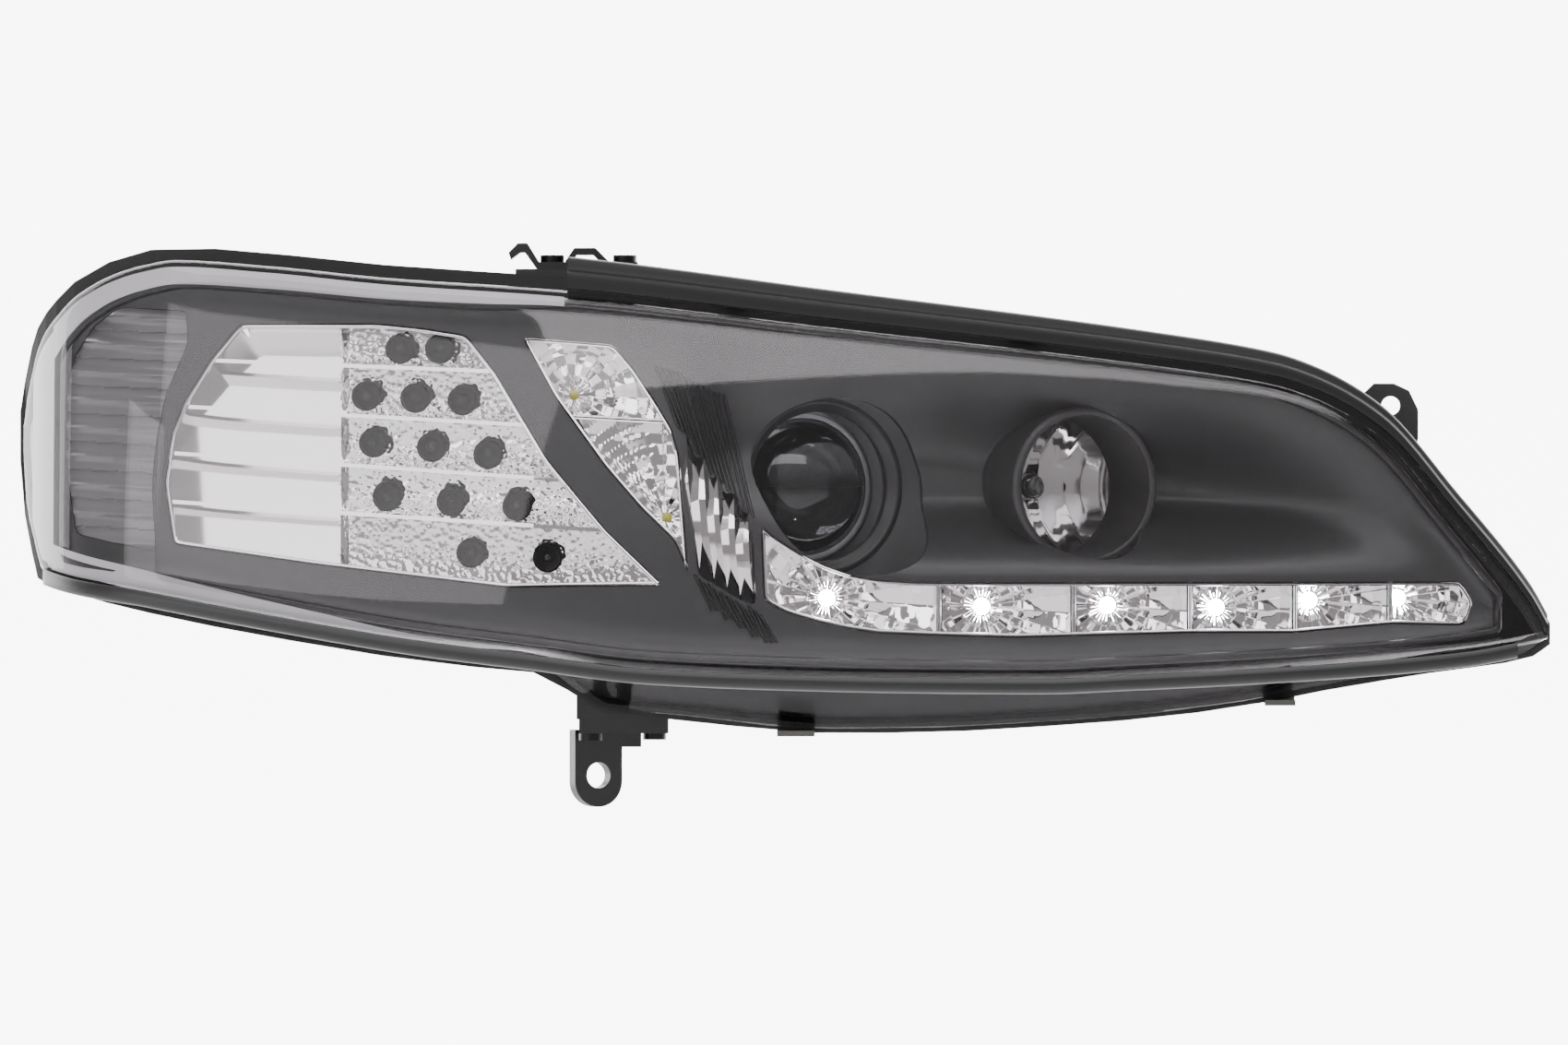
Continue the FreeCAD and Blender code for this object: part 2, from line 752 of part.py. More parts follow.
# -------------------------------------------------------------- bezel and signal reflectors


def bezel_section(share):
    """Dark mask: it starts just inside the lens edge and sinks to a well round the beams."""
    margin = size.bezel_margin
    x, top, knuckle, _ = outline(share, -margin, 0, -margin)
    low = knuckle + margin
    well = follow(WELL_DEPTH, share)
    lean_kept = max(0, 1 - well / max(depth for _, depth in WELL_DEPTH))
    plan = front_y(x, size.face_base)

    def wall_y(z):
        return plan + well + (front_y(x, z) - plan) * lean_kept

    room = 0.3 * (top - low)
    shoulder = top - min(0.35 * well, room)
    floor = low + min(0.25 * well, room)
    middle = (shoulder + floor) / 2
    front = [(front_y(x, top) + margin, top), (wall_y(shoulder), shoulder),
             (wall_y(middle), middle), (wall_y(floor), floor), (front_y(x, low) + margin, low)]
    wall = size.bezel_wall
    shifts = [(wall, wall), (wall, wall), (wall, 0), (wall, -wall), (wall, -wall)]
    back = [(y + dy, z + dz) for (y, z), (dy, dz) in zip(front, shifts)]
    return [Vector(x, y, z) for y, z in front + back[::-1]]


OPENINGS = (TURN_OUTLINE, PANEL_OUTLINE, DRL_UPPER_OUTLINE, COMB_OUTLINE, DRL_LOWER_OUTLINE)
bezel = strip(2, 97, bezel_section)
for opening in OPENINGS:
    bezel = bezel.cut(prism(opening))
bezel = bezel.cut(beam_rod(LOW, size.shroud_radius, -60, 90))
bezel = biggest(bezel.cut(beam_rod(HIGH, size.tunnel_opening, -60, 90)))
keep("bezel", bezel)


def slanted_bar(start, end, thickness, depth, bar_depth, inside):
    """A bar behind the lens from one share point to another, kept inside an outline."""
    (left, left_z), (right, right_z) = start, end
    half = 50 * thickness / size.lens_height
    corners = [(left, left_z - half), (right, right_z - half),
               (right, right_z + half), (left, left_z + half)]
    return prism(corners).common(layer(depth, bar_depth)).common(inside)


RIB_COUNT = 8
RIB_FIRST = 38
RIB_PITCH = 6.7
RIB_FALL = 1.2


def side_panel():
    """Smoked panel of the side marker with its raised ribs."""
    sheet_depth = size.panel_depth + 3
    outline_prism = prism(PANEL_OUTLINE)
    panel = outline_prism.common(layer(sheet_depth, size.bezel_wall))
    for index in range(RIB_COUNT):
        height = RIB_FIRST + RIB_PITCH * index
        rib = slanted_bar((1, height + RIB_FALL), (12, height), 3, size.panel_depth, 3.2,
                          outline_prism)
        panel = panel.fuse(rib)
    return panel


keep("side_marker_panel", side_panel())

turn = tray(TURN_OUTLINE, size.turn_depth, size.turn_tray)
for u, v in TURN_LEDS:
    turn = turn.cut(along_y(u, v, size.led_hole, 0, 80))
keep("turn_reflector", biggest(turn))

turn_inside = prism(TURN_OUTLINE, -size.tray_wall)
blades = []
for start, end in TURN_BLADES:
    blades.append(biggest(slanted_bar(start, end, size.blade_thickness, size.turn_depth + 1, 10,
                                      turn_inside)))
keep("turn_louvres", group(blades))

TURN_BOARD = [(20.5, 82), (29.4, 81), (31.3, 72), (36, 46), (38, 26), (27, 25), (20.5, 38)]
DRL_UPPER_BOARD = [(35, 72), (38.5, 72), (43.5, 42), (43.5, 34), (41, 34), (35, 62)]
DRL_LOWER_BOARD = [(51.2, 22), (94, 21), (94, 15), (76.6, 13), (60, 13), (51.2, 16.5)]


def board(points, depth):
    """Circuit board parallel to the lens face."""
    return prism(points).common(layer(depth, size.board_thickness))


def lights(points, radius, length, depth, behind):
    """Domed light chips that stand forward from a board."""
    chips = []
    for u, v in points:
        rod = along_y(u, v, radius, depth - length, length + 2)
        x = x_at(u)
        z = z_at(v)
        dome = Part.makeSphere(radius, Vector(x, front_y(x, z) + depth - length, z))
        chips.append(biggest(rod.fuse(dome).cut(behind)))
    return group(chips)


turn_board_depth = size.turn_depth + size.turn_tray + size.board_gap
turn_board = board(TURN_BOARD, turn_board_depth)
keep("turn_led_board", turn_board)
keep("turn_leds", lights(TURN_LEDS, size.led_radius, size.led_length, turn_board_depth,
                         turn_board))


def drl_tray(points, chips):
    """Chrome cup of the daytime-running strip with a hole for each chip."""
    cup = tray(points, size.drl_depth, size.drl_tray)
    for u, v in chips:
        cup = cup.cut(along_y(u, v, size.chip_radius + 1, 0, 80))
    return cup


drl_board_depth = size.drl_depth + size.drl_tray + size.board_gap
chip_length = size.board_gap + size.tray_wall + 1
for name, points, chips, board_points in (
        ("upper", DRL_UPPER_OUTLINE, DRL_UPPER_LEDS, DRL_UPPER_BOARD),
        ("lower", DRL_LOWER_OUTLINE, DRL_LOWER_LEDS, DRL_LOWER_BOARD)):
    cup = drl_tray(points, chips)
    if name == "lower":
        room = prism(points, -size.tray_wall)
        for u in DRL_DIVIDERS:
            wall = slanted_bar((u - 0.12, 18), (u + 0.12, 18), 60, size.drl_depth + 1,
                               size.drl_tray - 1.5, room)
            cup = cup.fuse(wall)
    keep("drl_" + name + "_reflector", biggest(cup))
    plate = board(board_points, drl_board_depth)
    keep("drl_" + name + "_board", plate)
    keep("drl_" + name + "_leds", lights(chips, size.chip_radius, chip_length, drl_board_depth,
                                         plate))

keep("drl_comb", prism(COMB_OUTLINE).common(layer(size.drl_depth - 1, 12)))

# ------------------------------------------------------------------------ primitive parts


def cylinder_part(name, radius, length, start="0"):
    """A cylinder on local Z whose sizes are formulas."""
    item = doc.addObject("Part::Cylinder", name)
    item.setExpression("Radius", radius)
    item.setExpression("Height", length)
    item.setExpression("Placement.Base.z", start)
    return item


def sphere_part(name, radius, height="0"):
    """A sphere centred on local Z whose size is a formula."""
    item = doc.addObject("Part::Sphere", name)
    item.setExpression("Radius", radius)
    item.setExpression("Placement.Base.z", height)
    return item


def box_part(name, width, depth, height, corner):
    """A box whose sizes and lowest corner are formulas."""
    item = doc.addObject("Part::Box", name)
    for prop, formula in zip(("Length", "Width", "Height"), (width, depth, height)):
        item.setExpression(prop, formula)
    for axis, formula in zip("xyz", corner):
        item.setExpression("Placement.Base." + axis, formula)
    return item


def joined(label, pieces, placement, kept=True):
    """Union of primitives as one sub-part."""
    item = doc.addObject("Part::MultiFuse", label)
    item.Shapes = pieces
    item.Placement = placement
    if kept:
        nodes[label] = item
    return item


def difference(label, base, tool, placement):
    """One primitive less another as a sub-part."""
    item = doc.addObject("Part::Cut", label)
    item.Base = base
    item.Tool = tool
    item.Placement = placement
    nodes[label] = item
    return item


def overlap(label, pieces, placement):
    """What primitives share as a sub-part."""
    item = doc.addObject("Part::MultiCommon", label)
    item.Shapes = pieces
    item.Placement = placement
    nodes[label] = item
    return item


# ------------------------------------------------------------------- projector low beam

GLASS_START = 8

turned("projector_shroud",
       [("size.shroud_opening", "0"), ("size.shroud_radius", "0"),
        ("size.shroud_radius", "size.shroud_length"),
        ("size.shroud_opening + 3", "size.shroud_length")], beam_place(LOW))

overlap("projector_lens",
        [sphere_part("lens_sphere", "size.glass_sphere", "size.glass_sphere"),
         cylinder_part("lens_edge", "size.glass_radius", "18")],
        beam_place(LOW, GLASS_START))

turned("projector_lens_ring",
       [("size.glass_radius + 0.1", "-2"), ("size.holder_radius", "-2"),
        ("size.holder_radius", "size.holder_length"),
        ("size.glass_radius - 4", "size.holder_length"), ("size.glass_radius - 4", "2.1"),
        ("size.glass_radius + 0.1", "2.1")], beam_place(LOW, size.holder_front))

CURVE_STEPS = 12


def seat_hooks(seat_end):
    """Lugs for the wire clip's hinge and the post that its loop rests against."""
    reach = size.clip_half_width + 2.5
    low = size.clip_half_height
    hinge = clip_height(seat_end)
    lugs = []
    for left in (-reach - 2, reach):
        lug = Part.makeBox(2, 5, hinge + 2.5 - seat_end, Vector(left, low - 2.5, seat_end))
        hole = Part.makeCylinder(size.clip_wire + size.running_gap, 2, Vector(left, low, hinge),
                                 Vector(1, 0, 0))
        lugs.append(lug.cut(hole))
    post = Part.makeBox(6, 2, hinge + 1 - seat_end, Vector(-3, -low - 3.5, seat_end))
    return lugs + [post]


def clip_height(seat_end):
    """Distance of the wire clip's plane behind a beam's front point."""
    return seat_end + size.bulb_flange + size.clip_wire + size.fit_gap


def reflector_shape(inner, rim, seat_start):
    """A revolved reflector with the seat and clip lugs of its bulb behind it."""
    wall = size.bowl_wall
    seat_end = seat_start + size.bulb_seat_depth
    outer = [(radius + wall, height) for radius, height in inner]
    seat = [(size.bulb_seat_radius, seat_start), (size.bulb_seat_radius, seat_end),
            (size.bulb_hole_radius, seat_end)]
    outer = [point for point in outer if point[0] > size.bulb_hole_radius + 2 * wall]
    outer = [point for point in outer if abs(point[1] - seat_start) > wall]
    shape = revolved(inner + seat[::-1] + outer[::-1])
    for hook in seat_hooks(seat_end):
        shape = shape.fuse(hook)
    return shape, revolved([(0, rim)] + outer + seat[:2] + [(0, seat_end)])


BOWL_FRONT = size.holder_front + size.holder_length
bowl_end = math.acos(size.bulb_hole_radius / size.bowl_radius)
bowl_inner = []
for step in range(CURVE_STEPS + 1):
    angle = bowl_end * step / CURVE_STEPS
    bowl_inner.append((size.bowl_radius * math.cos(angle),
                       BOWL_FRONT + size.bowl_depth * math.sin(angle)))
low_seat = bowl_inner[-1][1]
bowl, bowl_solid = reflector_shape(bowl_inner, BOWL_FRONT, low_seat)
keep("projector_bowl", bowl, beam_place(LOW))
bowl_solid.Placement = beam_place(LOW)

turned("cutoff_shield",
       [("0", "0"), ("size.bowl_radius - 2 * size.running_gap", "0"),
        ("size.bowl_radius - 2 * size.running_gap", "size.shield_thickness"),
        ("0", "size.shield_thickness")],
       beam_place(LOW, BOWL_FRONT + 2), 180)

dish_focus = size.dish_radius ** 2 / (4 * size.dish_depth)
dish_apex = size.dish_front + size.dish_depth
dish_hole_depth = size.bulb_hole_radius ** 2 / (4 * dish_focus)
dish_inner = []
for step in range(CURVE_STEPS + 1):
    depth = size.dish_depth + (dish_hole_depth - size.dish_depth) * step / CURVE_STEPS
    dish_inner.append((math.sqrt(4 * dish_focus * depth), dish_apex - depth))
high_seat = dish_inner[-1][1]
dish, dish_solid = reflector_shape(dish_inner, size.dish_front, high_seat)
keep("high_beam_reflector", dish, beam_place(HIGH))
dish_solid.Placement = beam_place(HIGH)

tunnel = beam_rod(HIGH, size.tunnel_radius, -10, size.tunnel_length)
tunnel = tunnel.cut(beam_rod(HIGH, size.tunnel_opening, -11, size.tunnel_length + 1))
keep("high_beam_shroud", biggest(tunnel.cut(bezel)))


def bulb(name, point, seat_end):
    """Glass tube and base of a bulb, and the wire clip that holds it in its seat."""
    place = beam_place(point, seat_end)
    joined(name + "_bulb_glass",
           [cylinder_part(name + "_tube", "size.glass_tube_radius", "size.glass_tube_length",
                          "-size.glass_tube_length - 6"),
            sphere_part(name + "_tip", "size.glass_tube_radius", "-size.glass_tube_length - 6")],
           place)
    turned(name + "_bulb_base",
           [("0", "-6"), ("size.bulb_hole_radius - 0.1", "-6"),
            ("size.bulb_hole_radius - 0.1", "0"), ("size.bulb_hole_radius + 3", "0"),
            ("size.bulb_hole_radius + 3", "size.bulb_flange"),
            ("size.bulb_plug_radius", "size.bulb_flange"),
            ("size.bulb_plug_radius", "size.bulb_flange + size.bulb_plug_length"),
            ("0", "size.bulb_flange + size.bulb_plug_length")], place)
    half = size.clip_half_width
    low = size.clip_half_height
    corners = [Vector(-half - 5, low, 0), Vector(-half, low, 0), Vector(-half, -low, 0),
               Vector(half, -low, 0), Vector(half, low, 0), Vector(half + 5, low, 0)]
    wire = None
    for start, end in zip(corners, corners[1:]):
        run = end - start
        rod = Part.makeCylinder(size.clip_wire, run.Length, start, run)
        rod = rod.fuse(Part.makeSphere(size.clip_wire, end))
        wire = rod if wire is None else wire.fuse(rod)
    keep(name + "_bulb_clip", wire, beam_place(point, clip_height(seat_end)))


bulb("low", LOW, low_seat + size.bulb_seat_depth)
bulb("high", HIGH, high_seat + size.bulb_seat_depth)

# ---------------------------------------------------------------- frame that can be aimed

FRAME_OUTLINE = [(-28, 178), (96, 178), (236, 158), (236, 88), (112, 62), (-28, 60)]
SIDE_ARM = (92, 16, 152, 16)


def frame_shape():
    """Die-cast plate with the three ball sockets and seats for both beam units."""
    half = size.plate_thickness / 2
    corners = [Vector(x, PIVOT.y - half, z) for x, z in FRAME_OUTLINE]
    plate = Part.Face(Part.makePolygon(corners + [corners[0]]))
    plate = plate.extrude(Vector(0, size.plate_thickness, 0))
    boss = size.boss_radius
    left, width, low, height = SIDE_ARM
    arm = Part.makeBox(width, SIDE.y - PIVOT.y, height, Vector(left, PIVOT.y, low))
    frame = plate.fuse(arm)
    socket = size.socket_radius + size.running_gap
    cup = size.ball_radius + size.rod_ball_gap
    for point, wall, hollow, mouth in ((PIVOT, boss, socket, 7.5), (LEVEL, boss - 3, cup, 4.6),
                                       (SIDE, boss - 4, cup, 4.6)):
        frame = frame.fuse(beam_rod(point, wall, -wall + 1, wall - 4))
        frame = frame.cut(Part.makeSphere(hollow, point))
        frame = frame.cut(beam_rod(point, mouth, 0, 40))
    frame = frame.cut(bowl_solid).cut(dish_solid)
    return biggest(frame)


keep("optics_frame", frame_shape())


def socket_shape():
    """Nylon socket that grips the ball of the pivot stud."""
    socket = Part.makeSphere(size.socket_radius)
    socket = socket.cut(Part.makeSphere(size.ball_radius + size.ball_clearance))
    return socket.cut(Part.makeCylinder(size.ball_radius, 20))


keep("pivot_socket", socket_shape(), beam_place(PIVOT))


def ball_rod(label, point, radius, end):
    """A ball with a straight shank behind it."""
    joined(label,
           [sphere_part(label + "_ball", "size.ball_radius"),
            cylinder_part(label + "_shank", radius, end)], beam_place(point))


ball_rod("pivot_stud", PIVOT, "size.stud_radius", "size.stud_length")
ball_rod("levelling_spindle", LEVEL, "size.rod_radius", "size.motor_face + 10")
ball_rod("horizontal_adjuster_rod", SIDE, "size.rod_radius", "size.adjuster_face + 7")

difference("levelling_motor",
           joined("motor_outside",
                  [cylinder_part("motor_neck", "size.motor_neck_radius",
                                 "size.motor_neck_length + 1", "-size.motor_neck_length"),
                   box_part("motor_box", "size.motor_width", "size.motor_height",
                            "size.motor_depth", ("-size.motor_width * 0.6",
                                                 "-size.motor_height / 2", "0"))],
                  Placement(), False),
           cylinder_part("motor_bore", "size.rod_radius + size.running_gap",
                         "size.motor_neck_length + 20", "-size.motor_neck_length - 1"),
           beam_place(LEVEL, size.motor_face))

turned("horizontal_adjuster_knob",
       [("size.rod_radius + size.running_gap", "-18"), ("size.adjuster_radius", "-18"),
        ("size.adjuster_radius", "size.fit_gap"), ("size.knob_radius", "size.fit_gap"),
        ("size.knob_radius", "size.knob_length"), ("0", "size.knob_length"), ("0", "13"),
        ("size.rod_radius + size.running_gap", "13")], beam_place(SIDE, size.adjuster_face))

turned("vertical_adjuster_knob",
       [("0", "-24"), ("size.adjuster_radius", "-24"), ("size.adjuster_radius", "size.fit_gap"),
        ("size.knob_radius", "size.fit_gap"), ("size.knob_radius", "size.knob_length"),
        ("0", "size.knob_length")], beam_place(VERTICAL, size.motor_face))

# -------------------------------------------------------------------------- rear covers


def rear_cover(name, point, neck, end):
    """Cap with a grip bar, the spigot under it, and the gasket round the spigot."""
    rim = "size." + neck + " + size.neck_wall + size.neck_lip"
    spigot = "size." + neck + " - size.fit_gap"
    bore = spigot + " - size.spigot_wall"
    gasket = "size.gasket_thickness"
    top = gasket + " + size.cover_thickness"
    place = beam_place(point, end)
    turned(name + "_cover_gasket",
           [(spigot + " + size.running_gap", "0"), (rim + " - 1", "0"),
            (rim + " - 1", gasket), (spigot + " + size.running_gap", gasket)], place)
    turned(name + "_cover_spigot",
           [(bore, "-size.spigot_depth"), (spigot, "-size.spigot_depth"), (spigot, gasket),
            (bore, gasket)], place)
    disc = cylinder_part(name + "_disc", rim, "size.cover_thickness", gasket)
    reach = "size." + neck + " * 0.8"
    grip = box_part(name + "_grip", reach + " * 2", "size.grip_width", "size.grip_height",
                    ("-" + reach, "-size.grip_width / 2", top))
    joined(name + "_rear_cover", [disc, grip], place)


rear_cover("low", LOW, "low_neck_radius", size.low_neck_end)
rear_cover("high", HIGH, "high_neck_radius", size.high_neck_end)

# ------------------------------------------------------------- connector, vent, driver box


def connector_shape():
    """Open-ended plug housing with its flange on the connector seat."""
    x = x_at(size.connector_share)
    y = rear_y(size.connector_share) + size.seat_proud
    z = size.connector_height
    face = y + size.connector_flange
    step = 2 * size.connector_step
    width = size.connector_width - step
    height = size.connector_tall - step
    wall = 2 * size.connector_wall
    flange = block(x, z, size.connector_width, size.connector_tall, y, face)
    shroud = block(x, z, width, height, face, face + size.plug_depth)
    hollow = block(x, z, width - wall, height - wall, face + size.connector_wall,
                   face + size.plug_depth + 1)
    shape = flange.fuse(shroud).cut(hollow)
    for index in (-1.5, -0.5, 0.5, 1.5):
        pin = block(x + index * size.pin_pitch, z, size.pin_width, 2 * size.pin_width,
                    face + 1, face + 1 + size.pin_length)
        shape = shape.fuse(pin)
    return shape


keep("connector_socket", connector_shape())

vent_place = Placement(Vector(x_at(size.vent_share), rear_y(size.vent_share) + size.vent_proud,
                              size.vent_height), Rotation(Vector(1, 0, 0), -90))
turned("vent_cap",
       [("0", "0"), ("size.vent_cap_radius", "0"),
        ("size.vent_cap_radius", "size.vent_cap_length - 2"),
        ("size.vent_cap_radius - 1.5", "size.vent_cap_length"), ("0", "size.vent_cap_length")],
       vent_place)

driver_y = rear_y(size.driver_share) + size.seat_proud
keep("drl_driver_box", block(x_at(size.driver_share), size.driver_height, size.driver_width,
                             size.driver_tall, driver_y, driver_y + size.driver_depth))

# -------------------------------------------------------------------- side marker lamp

MARKER = (6, 60)


def marker_parts():
    """Wedge bulb behind the side panel and the holder that carries it."""
    u, v = MARKER
    start = size.panel_depth + size.marker_behind
    glass = along_y(u, v, size.marker_radius, start, size.marker_length)
    holder = along_y(u, v, size.marker_holder, start + size.marker_length,
                     size.marker_holder_length)
    return glass, holder


marker_glass, marker_holder = marker_parts()
keep("side_marker_bulb", marker_glass)
keep("side_marker_holder", marker_holder)

# ---------------------------------------------------------------------------- brackets


def lower_bracket_shape():
    """Foot plate under the housing with the toed tab that carries the bolt hole."""
    top = size.bracket_top - size.bracket_plate
    plate = Part.makeBox(size.pad_width - 2, size.pad_depth - 4, size.bracket_plate,
                         Vector(size.pad_left + 1, size.pad_front + 2, top))
    radius = size.tab_radius - 2
    half = size.tab_thickness / 2
    stem = Part.makeBox(2 * radius, size.tab_thickness, top + 4, Vector(-radius, -half, -2.5))
    end = Part.makeCylinder(radius, size.tab_thickness, Vector(0, -half, -2.5), Vector(0, 1, 0))
    gusset = Part.makeBox(10, size.tab_thickness, 8, Vector(radius - 1, -half, top - 6))
    hole = Part.makeCylinder(size.tab_hole, 40, Vector(0, -20, 0), Vector(0, 1, 0))
    tab = stem.fuse(end).fuse(gusset).cut(hole)
    tab.Placement = Placement(Vector(0, 0, 0), Rotation(Vector(0, 0, 1), size.toe_angle))
    bracket = plate.fuse(tab)
    for hole_x, hole_y in LOWER_SCREWS:
        bracket = bracket.cut(Part.makeCylinder(size.screw_radius + size.fit_gap, 20,
                                                Vector(hole_x, hole_y, top - 5)))
    return bracket


LOWER_SCREWS = ((-2, -14), (25, 12))
UPPER_SCREWS = ((-18.5, -10), (12.5, -10))
keep("lower_bracket", lower_bracket_shape())


def upper_bracket_shape():
    """Wavy spring bracket on the top of the housing with a bolt hole in its raised lobe."""
    base = upper_pad_top()
    wave = [(-37, 7), (-33, 11), (-29, 11), (-24, 3), (-13, 3), (-9, 9), (0, 9), (6, 3), (18, 3),
            (18, 0), (5, 0), (-1, 6), (-8, 6), (-12, 0), (-25, 0), (-30, 7), (-32, 7), (-36, 4)]
    corners = [Vector(x, size.upper_front + 2, base + z) for x, z in wave]
    face = Part.Face(Part.makePolygon(corners + [corners[0]]))
    shape = face.extrude(Vector(0, 20, 0))
    shape = shape.cut(Part.makeCylinder(size.upper_hole, 30, Vector(-4.5, size.upper_front + 12,
                                                                    base - 5)))
    for hole_x, hole_y in UPPER_SCREWS:
        shape = shape.cut(Part.makeCylinder(size.screw_radius + size.fit_gap, 30,
                                            Vector(hole_x, hole_y, base - 5)))
    return shape


keep("upper_bracket", upper_bracket_shape())


def screw(x, y, z, plate, up):
    """A pan-head screw through a plate, its head on a face at z; up is +1 with the head above."""
    shank = Part.makeCylinder(size.screw_radius, plate - size.running_gap, Vector(x, y, z),
                              Vector(0, 0, -up))
    head = Part.makeCylinder(size.screw_head_radius, size.screw_head_height, Vector(x, y, z),
                             Vector(0, 0, up))
    return shank.fuse(head)


screws = []
for x, y in LOWER_SCREWS:
    screws.append(screw(x, y, size.bracket_top - size.bracket_plate, size.bracket_plate, -1))
for x, y in UPPER_SCREWS:
    screws.append(screw(x, y, upper_pad_top() + size.upper_plate, size.upper_plate, 1))
keep("bracket_screws", group(screws))

# ------------------------------------------------------------------------------- export

doc.recompute()
for item in doc.Objects:
    if "Invalid" in item.State or "Error" in item.State:
        raise RuntimeError(item.Label + " failed: " + str(item.State))
os.makedirs("parts", exist_ok=True)
for label, item in nodes.items():
    shape = item.Shape
    if shape.isNull() or not shape.isValid():
        raise RuntimeError(label + " has no valid shape")
for label, item in nodes.items():
    item.Shape.exportStep("parts/" + label + ".step")
print(len(nodes), "nodes")
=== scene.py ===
# %% [markdown]
# # A car headlight, built as surfaces
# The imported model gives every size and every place. This script reads them from the frame,
# then builds the surfaces that the eye sees: a clear lens, a dark bezel, chrome reflectors and
# the black parts round them. Everything is in metres, +X along the lamp face, +Y to the rear.

# %% Load the frame
import json
import math
import bmesh
import bpy
import numpy as np
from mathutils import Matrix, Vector


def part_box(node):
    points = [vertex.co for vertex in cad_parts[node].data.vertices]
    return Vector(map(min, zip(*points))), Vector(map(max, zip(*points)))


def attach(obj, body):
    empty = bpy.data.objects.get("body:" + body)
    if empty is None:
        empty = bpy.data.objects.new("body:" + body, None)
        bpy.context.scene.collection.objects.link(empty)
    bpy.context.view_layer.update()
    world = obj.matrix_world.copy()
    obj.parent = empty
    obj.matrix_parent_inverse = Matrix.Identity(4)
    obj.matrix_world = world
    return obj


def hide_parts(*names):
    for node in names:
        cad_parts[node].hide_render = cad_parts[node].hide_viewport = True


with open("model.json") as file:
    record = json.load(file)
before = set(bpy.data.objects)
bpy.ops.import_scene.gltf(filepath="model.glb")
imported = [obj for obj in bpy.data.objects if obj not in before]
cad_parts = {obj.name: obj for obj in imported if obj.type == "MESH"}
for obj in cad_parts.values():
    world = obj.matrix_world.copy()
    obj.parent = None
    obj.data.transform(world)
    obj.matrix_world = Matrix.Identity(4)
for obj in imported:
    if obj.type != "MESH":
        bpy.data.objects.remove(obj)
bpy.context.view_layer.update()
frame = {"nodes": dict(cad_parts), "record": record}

MM = 0.001
print("nodes in the frame:", len(frame["nodes"]))

# %% [markdown]
# ## Styling curves
# A stylist draws a lamp with a few long curves. Each is kept here as points in percent of the
# lens's length and height, and a cubic runs through them without overshooting, so that a
# straight stretch stays straight. The lens face itself is a formula: bowed in plan, wrapped
# back at the outboard end, and leaning back towards its top.

# %% Curves and the lens face
lens_low, lens_high = (np.array(corner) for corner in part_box("front_lens"))
LENS_LEFT = lens_low[0]
LENS_LENGTH = lens_high[0] - lens_low[0]
TOP_SHARE = 100.2
BOTTOM_SHARE = -12.8
LENS_HEIGHT = (lens_high[2] - lens_low[2]) / (TOP_SHARE - BOTTOM_SHARE) * 100
FACE_BASE = lens_low[2] - LENS_HEIGHT * BOTTOM_SHARE / 100
FRONT_FACE = lens_low[1]
FRONT_BOW = 220 * MM
BOW_CENTRE = 100 * MM
WRAP_DEPTH = 60 * MM
WRAP_LENGTH = 15 * MM
LEAN_DEPTH = 34 * MM
FLANGE_FACE = FRONT_FACE + 74 * MM
FLANGE_BOW_OUTER = 160 * MM
FLANGE_BOW_INNER = 20 * MM
LENS_WALL = 3 * MM
TOE = math.radians(25)


def curve(points):
    """Cubic through points; each slope is the harmonic mean of its neighbours' slopes."""
    xs, ys = np.array(points, float).T
    widths = np.diff(xs)
    slopes = np.diff(ys) / widths
    tangents = np.concatenate([slopes[:1], np.zeros(len(xs) - 2), slopes[-1:]])
    product = slopes[:-1] * slopes[1:]
    total = slopes[:-1] + slopes[1:]
    same_way = product > 0
    tangents[1:-1][same_way] = 2 * product[same_way] / total[same_way]

    def at(x):
        x = np.clip(x, xs[0], xs[-1])
        index = np.clip(np.searchsorted(xs, x, side="right") - 1, 0, len(xs) - 2)
        width = widths[index]
        t = (x - xs[index]) / width
        return (ys[index] * (1 + 2 * t) * (1 - t) ** 2 + tangents[index] * width * t * (1 - t) ** 2
                + ys[index + 1] * t * t * (3 - 2 * t)
                - tangents[index + 1] * width * t * t * (1 - t))

    return at


top_edge = curve([(0, 60.7), (0.3, 68), (1.2, 80.9), (2.5, 87.6), (3.7, 91.9), (6, 96.6),
                  (8, 98.9), (10.2, 100.2), (16.3, 98.7), (24, 95.8), (35.9, 92.7), (53.2, 85.4),
                  (74.1, 76.4), (82, 71.9), (85.2, 68), (89.2, 59.3), (94, 39.3), (98.9, 17.1),
                  (100, 10.1)])
bottom_edge = curve([(0, 52.8), (0.3, 39.3), (0.8, 30.3), (1.2, 24.2), (2.3, 22.2), (8.8, 15.7),
                     (21.1, 7.3), (28.5, 3.4), (33.8, 1.7), (36.7, -4.1), (38.4, -7.9),
                     (42.5, -9.4), (53.5, -12.8), (59.2, -12.6), (67, -11.2), (73.7, -9.3),
                     (80.3, -6.2), (85.5, -2.5), (92.1, 1.5), (98.6, 5.1), (100, 8.4)])
knuckle_line = curve([(0, 54), (0.3, 41), (0.8, 34), (1.5, 25.8), (8.8, 20.2), (18.6, 13.5),
                      (26, 9), (33.4, 5.6), (41, 2.2), (49.3, 0.8), (59.2, 0), (67, -0.2),
                      (72.4, 0.6), (80.3, 2), (88.3, 3.9), (94.8, 6.2), (99.5, 9.3), (100, 9.6)])


def x_at(share):
    """X of a share of the lens length, in percent."""
    return LENS_LEFT + LENS_LENGTH * np.asarray(share) / 100


def share_at(x):
    """Share of the lens length at X."""
    return 100 * (np.asarray(x) - LENS_LEFT) / LENS_LENGTH


def z_at(share):
    """Z of a share of the lens height, in percent."""
    return FACE_BASE + LENS_HEIGHT * np.asarray(share) / 100


